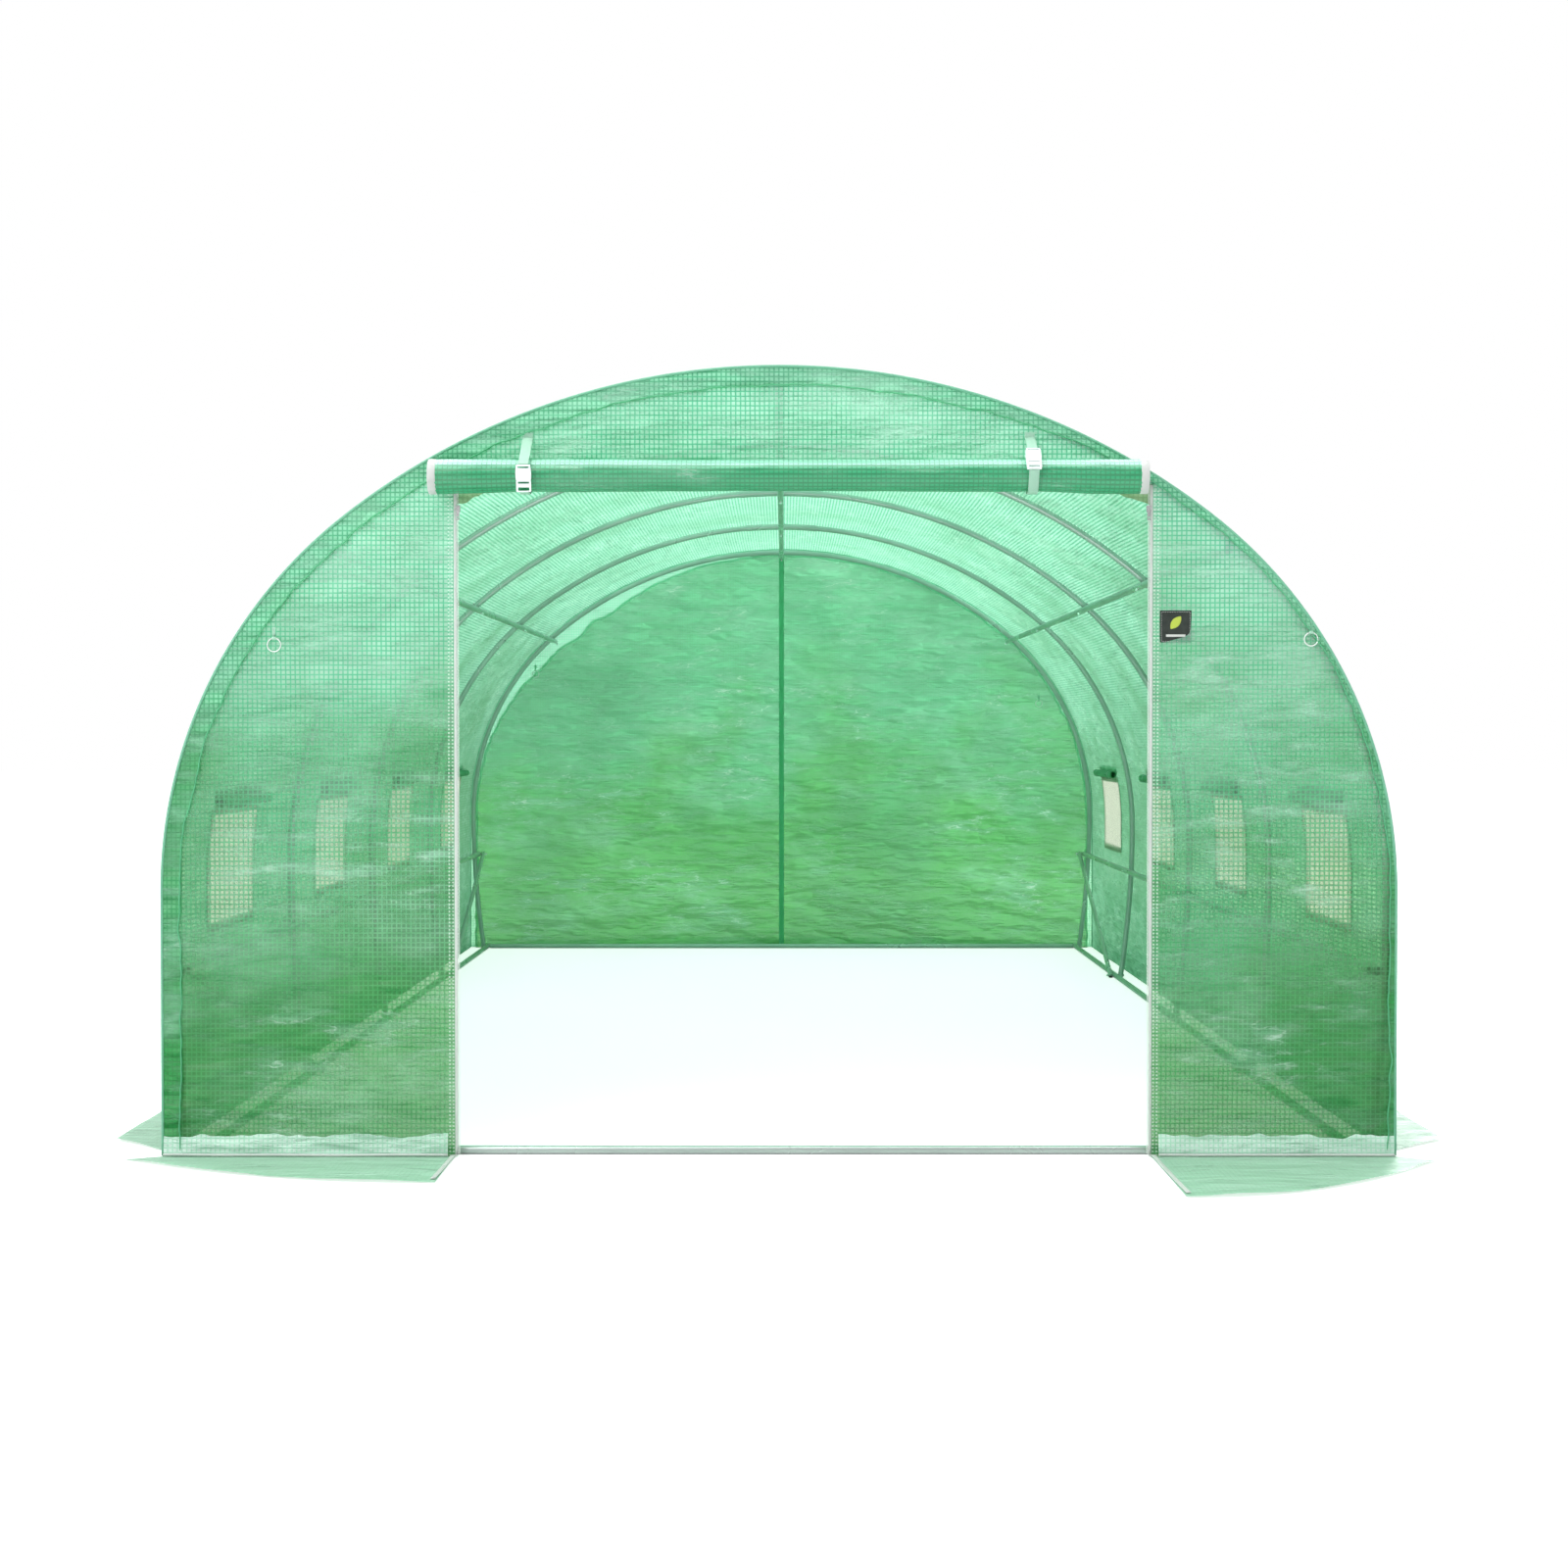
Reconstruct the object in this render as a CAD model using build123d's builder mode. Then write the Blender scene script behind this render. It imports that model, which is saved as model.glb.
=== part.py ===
from build123d import *
from math import acos, asin, atan2, cos, degrees, hypot, radians, sin, sqrt
import os

# Walk-in tunnel greenhouse: five steel hoops under a sewn cover, with a roll-up
# door in the front wall and four roll-up windows in each side.
# X runs across the tunnel, Y along it with the doorway towards -Y, and Z is up.
# The origin is on the ground under the middle of the tunnel. Sizes are in mm.

# Overall shape
hoop_count = 5
hoop_spacing = 1500
cover_half_width = 1525
cover_height = 1951
spring_height = 650  # the hoops are widest here and stand on curved legs below it
foot_half_width = 1456
shoulder_radius = 1165

# Steel tube and its fittings
tube_radius = 11
tube_wall = 0.8
brace_radius = 9.5
sleeve_radius = 12.7
sleeve_length = 300
spigot_length = 60
fit_gap = 0.2
rail_gap = 0.3  # between tubes that lie side by side on a bolt
butt_gap = 1
shoulder_purlin_angle = 48
waist_height = 460
bolt_radius = 3
bolt_hole_radius = 3.3
bolt_head_radius = 6
bolt_head_height = 3
nut_radius = 5.8
nut_height = 5
bolt_tail = 8
bolt_rounding = 0.6  # of the head's height
nut_play = 0.05
sill_bolt_depth = 40
ground_clearance = 0.5

# Cover
cloth = 2
cover_gap = 16.5
wall_gap = 4
screen_thickness = 1
window_length = 560
window_bottom = 525
window_top = 840
side_skirt_width = 180
side_skirt_end = 45
left_flap_depth = 360
right_flap_depth = 540
flap_tip_width = 1610
flap_bulge = 0.55  # share of the flap's width at which its outer edge is taken
flap_bulge_depth = 0.76
flap_tip_depth = 0.12

# Doorway and door
door_left = -800
door_right = 920
header_bottom = 1660
door_seam_height = 1698
roll_left = -852
roll_right = 898
roll_radius = 44
roll_height = 1676
roll_back_gap = 15
door_sheet_gap = 11.5
door_sheet_inset = 2  # from each end of the roll to the edge of its cloth

# Window flaps
flap_roll_radius = 17
flap_roll_length = 600
flap_roll_height = 865
flap_roll_gap = 3

# Zips
tape_width = 23
tape_overhang = 8
tape_thickness = 1.5
coil_width = 6
coil_thickness = 4
slider_grip = 3  # of the slider's plates on the tape
slider_edge = 0.6
slider_height = 16
slider_wall = 1.5
slider_clearance = 0.5
slider_rest_height = 1600
pull_width = 8
pull_length = 32
pull_drop = 4  # of the pull's top below the slider's top
pull_eye_drop = 6
pull_eye_length = 5

# Door straps and their side-release buckles
strap_x = 617
strap_width = 25
strap_thickness = 1.5
strap_anchor_height = 1775
left_buckle_angle = -18
right_buckle_angle = 39
buckle_width = 36
buckle_top_width = 33
buckle_swell = 1.5  # of each side of the socket at its middle
buckle_edge = 1.2
socket_length = 36
socket_thickness = 10
socket_wall = 1.6
plug_length = 29
plug_thickness = 6
prong_width = 4.5
prong_length = 20
prong_root = 2  # of a prong's length inside the plug's bar
bar_height = 4
slot_width = 27.5
slot_height = 5.5
plug_slot_height = 9
tongue_length = 14
buckle_play = 0.5
strap_lift = 3  # webbing's height above the buckle's underside
sling_seam = 12  # webbing's seam above the header's lower edge

# Rings and label
ring_radius = 16.5
ring_wire = 1.5
loop_bore = 3
loop_radius = 4.5
loop_width = 10
loop_tab_height = 28
label_width = 78
label_height = 80
label_left = 938
label_bottom = 1270
label_thickness = 1.2

# Worked out from the above
half_length = hoop_spacing * (hoop_count - 1) / 2
hoop_ys = [hoop_spacing * i - half_length for i in range(hoop_count)]
bay_ys = [y + hoop_spacing / 2 for y in hoop_ys[:-1]]
cover_out = cover_gap + cloth
hoop_half_width = cover_half_width - cover_out
crown_height = cover_height - cover_out
rise = crown_height - spring_height
shoulder_x = hoop_half_width - shoulder_radius
crown_radius = (shoulder_x**2 + rise**2 - shoulder_radius**2) / (2 * (rise - shoulder_radius))
crown_z = crown_height - crown_radius
shoulder_angle = degrees(atan2(spring_height - crown_z, shoulder_x))
foot_inset = hoop_half_width - foot_half_width
leg_radius = (spring_height**2 + foot_inset**2) / (2 * foot_inset)
leg_centre_x = hoop_half_width - leg_radius
leg_angle = degrees(asin(spring_height / leg_radius))
tube_bore = tube_radius - tube_wall
wall_y = half_length + tube_radius + wall_gap  # inner face of each end wall
face_y = wall_y + cloth  # outer face of each end wall

os.makedirs("parts", exist_ok=True)


def save(part, name):
    """Label a finished piece and write it as a STEP file of the same name."""
    part.label = name
    export_step(part, f"parts/{name}.step")


def bent_tube(centre_x, centre_z, bend_radius, start, turn, outside, bore):
    """Round tube bent in the XZ plane about a centre, from a start angle through a turn."""
    a = radians(start)
    end_plane = Plane(
        origin=(centre_x + bend_radius * cos(a), 0, centre_z + bend_radius * sin(a)),
        x_dir=(0, 1, 0),
        z_dir=(-sin(a), 0, cos(a)),
    )
    with BuildPart() as bend:
        with BuildSketch(end_plane):
            Circle(outside)
            Circle(bore, mode=Mode.SUBTRACT)
        revolve(axis=Axis((centre_x, 0, centre_z), (0, -1, 0)), revolution_arc=turn)
    return bend.part


def straight_tube(start, end, outside, bore):
    """Round tube between two points."""
    run = Vector(*end) - Vector(*start)
    with BuildPart() as tube:
        with BuildSketch(Plane(origin=start, z_dir=run)):
            Circle(outside)
            Circle(bore, mode=Mode.SUBTRACT)
        extrude(amount=run.length)
    return tube.part


def leg_x(height):
    """Distance of the leg's centreline from the middle of the tunnel at a height."""
    return leg_centre_x + sqrt(leg_radius**2 - (spring_height - height) ** 2)


waist_x = leg_x(waist_height) - 2 * tube_radius - rail_gap
base_x = leg_x(tube_radius) - 2 * tube_radius - rail_gap
sill_y = half_length - 2 * tube_radius - rail_gap


def shoulder_point(offset, angle=shoulder_purlin_angle):
    """Point of the right shoulder, a distance outside the hoop's centreline."""
    reach = shoulder_radius + offset
    return shoulder_x + reach * cos(radians(angle)), spring_height + reach * sin(radians(angle))


def shoulder_seat(side, y):
    """Plane on the outside of the hoop where the shoulder purlin's bolt head sits."""
    x, z = shoulder_point(tube_radius)
    a = radians(shoulder_purlin_angle)
    return Plane(origin=(side * x, y, z), x_dir=(0, 1, 0), z_dir=(side * cos(a), 0, sin(a)))


def crown_seat(y):
    """Plane on top of the crown sleeve where the ridge purlin's bolt head sits."""
    return Plane(origin=(0, y, crown_height + sleeve_radius), z_dir=(0, 0, 1))


def leg_seat(side, y, height):
    """Plane on the outside of a leg where a rail's bolt head sits, clear of the leg's lean."""
    lean = (spring_height - height) / leg_radius
    x = side * (leg_x(height) + tube_radius + lean * bolt_head_radius)
    return Plane(origin=(x, y, height), x_dir=(0, 1, 0), z_dir=(side, 0, 0))


def sill_seat(side, end):
    """Plane on the outside of a side rail where the bolt into a sill's end sits."""
    x = side * (base_x + tube_radius)
    y = end * sill_y
    return Plane(origin=(x, y, tube_radius), x_dir=(0, 1, 0), z_dir=(side, 0, 0))


def drill(seats, depth=200):
    """Cut bolt holes through the current part, inward from each seat."""
    with Locations(*[seat.location for seat in seats]):
        Cylinder(bolt_hole_radius, 2 * depth, mode=Mode.SUBTRACT)


def arch_face(offset):
    """Filled end outline of the tunnel, a distance outside the hoops' centreline."""
    side = hoop_half_width + offset
    with BuildSketch() as face:
        with BuildLine():
            Line((-side, 0), (-side, spring_height))
            CenterArc((-shoulder_x, spring_height), shoulder_radius + offset, 180, -shoulder_angle)
            CenterArc((0, crown_z), crown_radius + offset, 180 - shoulder_angle, 2 * shoulder_angle - 180)
            CenterArc((shoulder_x, spring_height), shoulder_radius + offset, shoulder_angle, -shoulder_angle)
            Line((side, spring_height), (side, 0))
            Line((side, 0), (-side, 0))
        make_face()
    return face.sketch


def crown_wedge():
    """Filled wedge that holds the crown arc and neither shoulder."""
    reach = 2 * crown_radius
    x = reach * cos(radians(shoulder_angle))
    z = crown_z + reach * sin(radians(shoulder_angle))
    with BuildSketch() as wedge:
        with BuildLine():
            Polyline((0, crown_z), (x, z), (-x, z), close=True)
        make_face()
    return wedge.sketch


# ---------------------------------------------------------------- hoops

spigot_turn = degrees(spigot_length / shoulder_radius)
neck_turn = degrees(spigot_length / 6 / leg_radius)
crown_turn = 90 - shoulder_angle - degrees(butt_gap / 2 / crown_radius)
sleeve_turn = degrees(sleeve_length / crown_radius)

# One bow runs from the top of a leg, over the shoulder, to the crown.
with BuildPart() as bow:
    add(bent_tube(shoulder_x, spring_height, shoulder_radius, 0, shoulder_angle, tube_radius, tube_bore))
    add(bent_tube(0, crown_z, crown_radius, shoulder_angle, crown_turn, tube_radius, tube_bore))
    drill([shoulder_seat(1, 0), crown_seat(0)])

for number, y in enumerate(hoop_ys, start=1):
    with BuildPart() as right_bow:
        with Locations((0, y, 0)):
            add(bow.part)
    save(right_bow.part, f"hoop_{number}_right_bow")
    with BuildPart() as left_bow:
        add(right_bow.part)
        mirror(about=Plane.YZ, mode=Mode.REPLACE)
    save(left_bow.part, f"hoop_{number}_left_bow")

# A leg curves in to its foot. Its thinned top end pushes up into the bow.
with BuildPart() as leg:
    add(bent_tube(leg_centre_x, spring_height, leg_radius, -leg_angle, leg_angle - neck_turn,
                  tube_radius, tube_bore))
    add(bent_tube(leg_centre_x, spring_height, leg_radius, -neck_turn, neck_turn,
                  tube_radius, tube_bore - fit_gap - tube_wall))
    add(bent_tube(shoulder_x, spring_height, shoulder_radius, 0, spigot_turn,
                  tube_bore - fit_gap, tube_bore - fit_gap - tube_wall))
    with Locations((foot_half_width, 0, 0)):
        Box(100, 100, 100, align=(Align.CENTER, Align.CENTER, Align.MAX), mode=Mode.SUBTRACT)
    drill([leg_seat(1, 0, tube_radius), leg_seat(1, 0, waist_height)])

with BuildPart() as right_legs:
    with Locations(*[(0, y, 0) for y in hoop_ys]):
        add(leg.part)
save(right_legs.part, "right_legs")

with BuildPart() as left_legs:
    add(right_legs.part)
    mirror(about=Plane.YZ, mode=Mode.REPLACE)
save(left_legs.part, "left_legs")

# The two bows of a hoop butt together inside a sleeve at the crown.
with BuildPart() as sleeve:
    add(bent_tube(0, crown_z, crown_radius, 90 - sleeve_turn / 2, sleeve_turn,
                  sleeve_radius, tube_radius + fit_gap))
    drill([crown_seat(0)])

with BuildPart() as crown_sleeves:
    with Locations(*[(0, y, 0) for y in hoop_ys]):
        add(sleeve.part)
save(crown_sleeves.part, "crown_sleeves")

# ---------------------------------------------------------------- rails and braces

purlin_end = half_length + tube_radius - 1
ridge_z = crown_height - sleeve_radius - tube_radius
shoulder_purlin_x, shoulder_purlin_z = shoulder_point(-2 * tube_radius)
with BuildPart() as ridge_purlin:
    add(straight_tube((0, -purlin_end, ridge_z), (0, purlin_end, ridge_z), tube_radius, tube_bore))
    drill([crown_seat(y) for y in hoop_ys])
save(ridge_purlin.part, "ridge_purlin")

for side, name in ((-1, "left"), (1, "right")):
    with BuildPart() as shoulder_purlin:
        x, z = side * shoulder_purlin_x, shoulder_purlin_z
        add(straight_tube((x, -purlin_end, z), (x, purlin_end, z), tube_radius, tube_bore))
        drill([shoulder_seat(side, y) for y in hoop_ys])
    save(shoulder_purlin.part, f"{name}_shoulder_purlin")

    with BuildPart() as waist_rail:
        x, z = side * waist_x, waist_height
        add(straight_tube((x, -purlin_end, z), (x, purlin_end, z), tube_radius, tube_bore))
        drill([leg_seat(side, y, waist_height) for y in hoop_ys])
    save(waist_rail.part, f"{name}_waist_rail")

with BuildPart() as base_side_rails:
    for side in (-1, 1):
        x, z = side * base_x, tube_radius
        add(straight_tube((x, -purlin_end, z), (x, purlin_end, z), tube_radius, tube_bore))
    drill([leg_seat(1, y, tube_radius) for y in hoop_ys], depth=2 * cover_half_width)
    drill([sill_seat(1, end) for end in (-1, 1)], depth=2 * cover_half_width)
save(base_side_rails.part, "base_side_rails")

# The sills cross the tunnel on the ground, between the side rails.
with BuildPart() as base_sills:
    sill_half = base_x - tube_radius
    for end in (-1, 1):
        y, z = end * sill_y, tube_radius
        add(straight_tube((-sill_half, y, z), (sill_half, y, z), tube_radius, tube_bore))
save(base_sills.part, "base_sills")

# Each brace falls from the waist of an end hoop to the foot of the next hoop.
brace_offset = tube_radius + brace_radius + rail_gap


def brace(side, end):
    """Sloping tube of one corner, bolted inside the waist rail and the base rail."""
    top = Vector(side * (waist_x - brace_offset), end * half_length, waist_height)
    foot = Vector(side * (base_x - brace_offset), end * (half_length - hoop_spacing), tube_radius)
    along = (foot - top).normalized()
    start = top - along * tube_radius
    finish = foot + along * tube_radius
    with BuildPart() as tube:
        add(straight_tube(tuple(start), tuple(finish), brace_radius, brace_radius - tube_wall))
        drill([leg_seat(side, top.Y, waist_height), leg_seat(side, foot.Y, tube_radius)])
        with Locations((foot.X, foot.Y, ground_clearance)):
            Box(200, 200, 200, align=(Align.CENTER, Align.CENTER, Align.MAX), mode=Mode.SUBTRACT)
    return tube.part


with BuildPart() as diagonal_braces:
    for side in (-1, 1):
        for end in (-1, 1):
            add(brace(side, end))
save(diagonal_braces.part, "diagonal_braces")

# ---------------------------------------------------------------- bolts and nuts


def bolt(grip):
    """Cup-head bolt, head up, whose shank goes down through a stack of the given height."""
    with BuildPart() as fastener:
        Cylinder(bolt_head_radius, bolt_head_height, align=(Align.CENTER, Align.CENTER, Align.MIN))
        fillet(fastener.edges().group_by(Axis.Z)[-1], bolt_rounding * bolt_head_height)
        Cylinder(bolt_radius, grip, align=(Align.CENTER, Align.CENTER, Align.MAX))
    return fastener.part


def nut(seat_depth):
    """Hexagon nut pulled up under a stack of the given height."""
    with BuildPart() as hexagon:
        with BuildSketch(Plane.XY.offset(-seat_depth)):
            RegularPolygon(nut_radius, 6)
            Circle(bolt_radius + nut_play, mode=Mode.SUBTRACT)
        extrude(amount=-nut_height)
    return hexagon.part


leg_lean_lift = bolt_head_radius * spring_height / leg_radius
two_tubes = 4 * tube_radius + 2 * rail_gap + leg_lean_lift
two_tubes_and_brace = two_tubes + 2 * brace_radius + 2 * rail_gap
sleeve_and_tube = 2 * (sleeve_radius + tube_radius)
foot_braced = (hoop_ys[1], hoop_ys[-2])
waist_braced = (hoop_ys[0], hoop_ys[-1])
plain_seats = [shoulder_seat(side, y) for side in (-1, 1) for y in hoop_ys]
plain_seats += [leg_seat(s, y, tube_radius) for s in (-1, 1) for y in hoop_ys if y not in foot_braced]
plain_seats += [leg_seat(s, y, waist_height) for s in (-1, 1) for y in hoop_ys if y not in waist_braced]
braced_seats = [leg_seat(s, y, tube_radius) for s in (-1, 1) for y in foot_braced]
braced_seats += [leg_seat(s, y, waist_height) for s in (-1, 1) for y in waist_braced]
ridge_seats = [crown_seat(y) for y in hoop_ys]
sill_seats = [sill_seat(side, end) for side in (-1, 1) for end in (-1, 1)]

with BuildPart() as frame_bolts:
    for seats, stack in (
        (plain_seats, two_tubes),
        (braced_seats, two_tubes_and_brace),
        (ridge_seats, sleeve_and_tube),
    ):
        with Locations(*[seat.location for seat in seats]):
            add(bolt(stack + bolt_tail))
            add(nut(stack))
    with Locations(*[seat.location for seat in sill_seats]):
        add(bolt(2 * tube_radius + sill_bolt_depth))
save(frame_bolts.part, "frame_bolts")

# ---------------------------------------------------------------- cover along the tunnel

window_middle = (window_bottom + window_top) / 2
window_height = window_top - window_bottom

with BuildPart() as cover_roof:
    with BuildSketch(Plane.XZ):
        add(arch_face(cover_out))
        add(arch_face(cover_gap), mode=Mode.SUBTRACT)
        add(crown_wedge(), mode=Mode.INTERSECT)
    extrude(amount=wall_y, both=True)
save(cover_roof.part, "cover_roof")

for side, name in ((-1, "left"), (1, "right")):
    with BuildPart() as cover_side:
        with BuildSketch(Plane.XZ):
            add(arch_face(cover_out))
            add(arch_face(cover_gap), mode=Mode.SUBTRACT)
            add(crown_wedge(), mode=Mode.SUBTRACT)
            with Locations((side * cover_half_width, 0)):
                Rectangle(2 * cover_half_width, 3 * cover_height, mode=Mode.INTERSECT)
        extrude(amount=wall_y, both=True)
        with Locations(*[(side * cover_half_width, y, window_middle) for y in bay_ys]):
            Box(200, window_length, window_height, mode=Mode.SUBTRACT)
    save(cover_side.part, f"cover_{name}")

with BuildPart() as window_screens:
    for y in bay_ys:
        with BuildSketch(Plane.XZ.offset(-y)):
            add(arch_face(cover_gap + (cloth + screen_thickness) / 2))
            add(arch_face(cover_gap + (cloth - screen_thickness) / 2), mode=Mode.SUBTRACT)
            with Locations((0, window_middle)):
                Rectangle(4 * cover_half_width, window_height, mode=Mode.INTERSECT)
        extrude(amount=window_length / 2, both=True)
save(window_screens.part, "window_screens")

# ---------------------------------------------------------------- end walls


def end_wall_piece(plane, left, right, bottom, top):
    """Flat cloth piece of an end wall: the arch outline cut to a rectangle."""
    with BuildPart() as piece:
        with BuildSketch(plane):
            add(arch_face(cover_out))
            with Locations(((left + right) / 2, (bottom + top) / 2)):
                Rectangle(right - left, top - bottom, mode=Mode.INTERSECT)
        extrude(amount=cloth)
    return piece.part


front_wall = Plane.XZ.offset(wall_y)
rear_wall = Plane.XZ.offset(-face_y)
outer = cover_half_width

front_panel_left = end_wall_piece(front_wall, -outer, door_left, 0, header_bottom)
save(front_panel_left, "front_panel_left")
front_panel_right = end_wall_piece(front_wall, door_right, outer, 0, header_bottom)
save(front_panel_right, "front_panel_right")
front_header = end_wall_piece(front_wall, -outer, outer, header_bottom, cover_height)
save(front_header, "front_header")
rear_panel_left = end_wall_piece(rear_wall, -outer, 0, 0, cover_height)
save(rear_panel_left, "rear_panel_left")
rear_panel_right = end_wall_piece(rear_wall, 0, outer, 0, cover_height)
save(rear_panel_right, "rear_panel_right")

# ---------------------------------------------------------------- ground skirts


def end_flap(inner_x, depth, side, end):
    """Flap on the ground in front of an end wall, deepest at its inner edge."""
    corner = side * cover_half_width
    tip = side * flap_tip_width
    bulge_x = inner_x + (tip - inner_x) * flap_bulge
    tip_y = end * (face_y + flap_tip_depth * depth)
    with BuildPart() as flap:
        with BuildSketch():
            with BuildLine():
                Line((inner_x, end * face_y), (inner_x, end * (face_y + depth)))
                ThreePointArc(
                    (inner_x, end * (face_y + depth)),
                    (bulge_x, end * (face_y + depth * flap_bulge_depth)),
                    (tip, tip_y),
                )
                Line((tip, tip_y), (corner, end * face_y))
                Line((corner, end * face_y), (inner_x, end * face_y))
            make_face()
        extrude(amount=cloth)
    return flap.part


def side_skirt(side):
    """Strip on the ground along one side, cut off at a slant at each end."""
    inner_end = half_length - side_skirt_end
    outer_end = inner_end - side_skirt_width
    inner_x = side * cover_half_width
    outer_x = side * (cover_half_width + side_skirt_width)
    with BuildPart() as strip:
        with BuildSketch():
            with BuildLine():
                Polyline((inner_x, -inner_end), (outer_x, -outer_end), (outer_x, outer_end),
                         (inner_x, inner_end), close=True)
            make_face()
        extrude(amount=cloth)
    return strip.part


with BuildPart() as ground_skirts:
    add(side_skirt(-1))
    add(side_skirt(1))
    add(end_flap(door_left, left_flap_depth, -1, -1))
    add(end_flap(door_right, right_flap_depth, 1, -1))
    add(end_flap(-butt_gap, right_flap_depth, -1, 1))
    add(end_flap(butt_gap, right_flap_depth, 1, 1))
save(ground_skirts.part, "ground_skirts")

# ---------------------------------------------------------------- window flaps, rolled up inside

flap_rise = flap_roll_height - spring_height
cover_inner_x = shoulder_x + sqrt((shoulder_radius + cover_gap) ** 2 - flap_rise**2)
flap_roll_x = cover_inner_x - flap_roll_gap - flap_roll_radius

for side, name in ((-1, "left"), (1, "right")):
    for number, y in enumerate(bay_ys, start=1):
        with BuildPart() as window_flap:
            with BuildSketch(Plane.XZ.offset(-y)):
                with Locations((side * flap_roll_x, flap_roll_height)):
                    Circle(flap_roll_radius)
            extrude(amount=flap_roll_length / 2, both=True)
        save(window_flap.part, f"window_flap_{name}_{number}")

# ---------------------------------------------------------------- door, rolled up in front

roll_y = -(face_y + roll_back_gap + roll_radius)

with BuildPart() as door_roll:
    with BuildSketch(Plane.YZ.offset(roll_left)):
        with Locations((roll_y, roll_height)):
            Circle(roll_radius)
    extrude(amount=roll_right - roll_left)
save(door_roll.part, "door_roll")

# The stretch of door cloth between its seam on the header and the roll
with BuildPart() as door_sheet:
    with BuildSketch(Plane.XZ.offset(face_y + door_sheet_gap)):
        middle_x = (roll_left + roll_right) / 2
        with Locations((middle_x, (door_seam_height + roll_height) / 2)):
            Rectangle(roll_right - roll_left - 2 * door_sheet_inset, door_seam_height - roll_height)
    extrude(amount=cloth)
save(door_sheet.part, "door_sheet")

# ---------------------------------------------------------------- zips


def zip_line(edge, side, flap_depth):
    """Tape and coil up one edge of the doorway, with a run of tape on the ground flap."""
    tape_x = edge - side * tape_overhang + side * tape_width / 2
    coil_x = edge - side * (tape_overhang + coil_width / 2)
    with BuildPart() as line:
        with Locations((tape_x, -face_y, cloth + tape_thickness)):
            Box(tape_width, tape_thickness, header_bottom - cloth - tape_thickness,
                align=(Align.CENTER, Align.MAX, Align.MIN))
        with Locations((coil_x, -face_y - tape_thickness / 2, cloth + tape_thickness)):
            Box(coil_width, coil_thickness, header_bottom - cloth - tape_thickness,
                align=(Align.CENTER, Align.CENTER, Align.MIN))
        with Locations((edge + side * tape_width / 2, -face_y, cloth)):
            Box(tape_width, flap_depth - tape_width, tape_thickness,
                align=(Align.CENTER, Align.MAX, Align.MIN))
    return line.part


def zip_slider(edge, side):
    """Slider folded round the coil, open towards the tape, with its pull hanging in front."""
    inside = coil_thickness / 2 + slider_clearance
    coil_end = edge - side * (tape_overhang + coil_width)
    web_x = coil_end - side * (slider_clearance + slider_wall / 2)
    plate_width = coil_width + slider_grip + slider_clearance + slider_wall
    plate_x = coil_end - side * (slider_clearance + slider_wall) + side * plate_width / 2
    y = -face_y - tape_thickness / 2
    front = y - inside - slider_wall
    pull_top = slider_rest_height + slider_height / 2 - pull_drop
    with BuildPart() as slider:
        for plate_y in (y - inside - slider_wall / 2, y + inside + slider_wall / 2):
            with Locations((plate_x, plate_y, slider_rest_height)):
                Box(plate_width, slider_wall, slider_height)
        with Locations((web_x, y, slider_rest_height)):
            Box(slider_wall, 2 * (inside + slider_wall), slider_height)
        fillet(slider.edges().filter_by(Axis.Y), slider_edge)
        with Locations((plate_x, front, pull_top)):
            Box(pull_width, slider_wall, pull_length, align=(Align.CENTER, Align.MAX, Align.MAX))
        with Locations((plate_x, front - slider_wall / 2, pull_top - pull_length + pull_eye_drop)):
            Box(pull_width / 2, 3 * slider_wall, pull_eye_length, mode=Mode.SUBTRACT)
    return slider.part


save(zip_line(door_left, -1, left_flap_depth), "zipper_left")
save(zip_line(door_right, 1, right_flap_depth), "zipper_right")
save(zip_slider(door_left, -1), "zip_slider_left")
save(zip_slider(door_right, 1), "zip_slider_right")

# ---------------------------------------------------------------- door straps and buckles

strap_path_radius = roll_radius + 2
buckle_radius = strap_path_radius + 1
anchor_y = -face_y - strap_thickness


def around_roll(radius, angle):
    """Point (y, z) at a distance from the roll's axis; 0 degrees faces forward, 90 up."""
    a = radians(angle)
    return roll_y - radius * cos(a), roll_height + radius * sin(a)


def buckle_plane(x, angle):
    """Plane of a buckle lying on the roll: local Y points up the strap, Z away from the roll."""
    y, z = around_roll(buckle_radius, angle)
    return Plane(origin=(x, y, z), x_dir=(1, 0, 0), z_dir=(0, -cos(radians(angle)), sin(radians(angle))))


def touching_angle(y, z, sense):
    """Angle at which taut webbing from a point meets the roll, above (1) or below (-1) the point."""
    forward, up = roll_y - y, z - roll_height
    return degrees(atan2(up, forward)) + sense * degrees(acos(strap_path_radius / hypot(forward, up)))


def strap_front(x, buckle_angle):
    """Taut webbing from its stitches on the header down to the buckle's socket."""
    end = buckle_plane(x, buckle_angle).from_local_coords((0, socket_length + strap_thickness, strap_lift))
    with BuildPart() as strap:
        with BuildSketch(Plane.YZ.offset(x - strap_width / 2)):
            with BuildLine():
                Line((anchor_y, strap_anchor_height), (end.Y, end.Z))
            trace(line_width=strap_thickness)
        extrude(amount=strap_width)
    return strap.part


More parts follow.
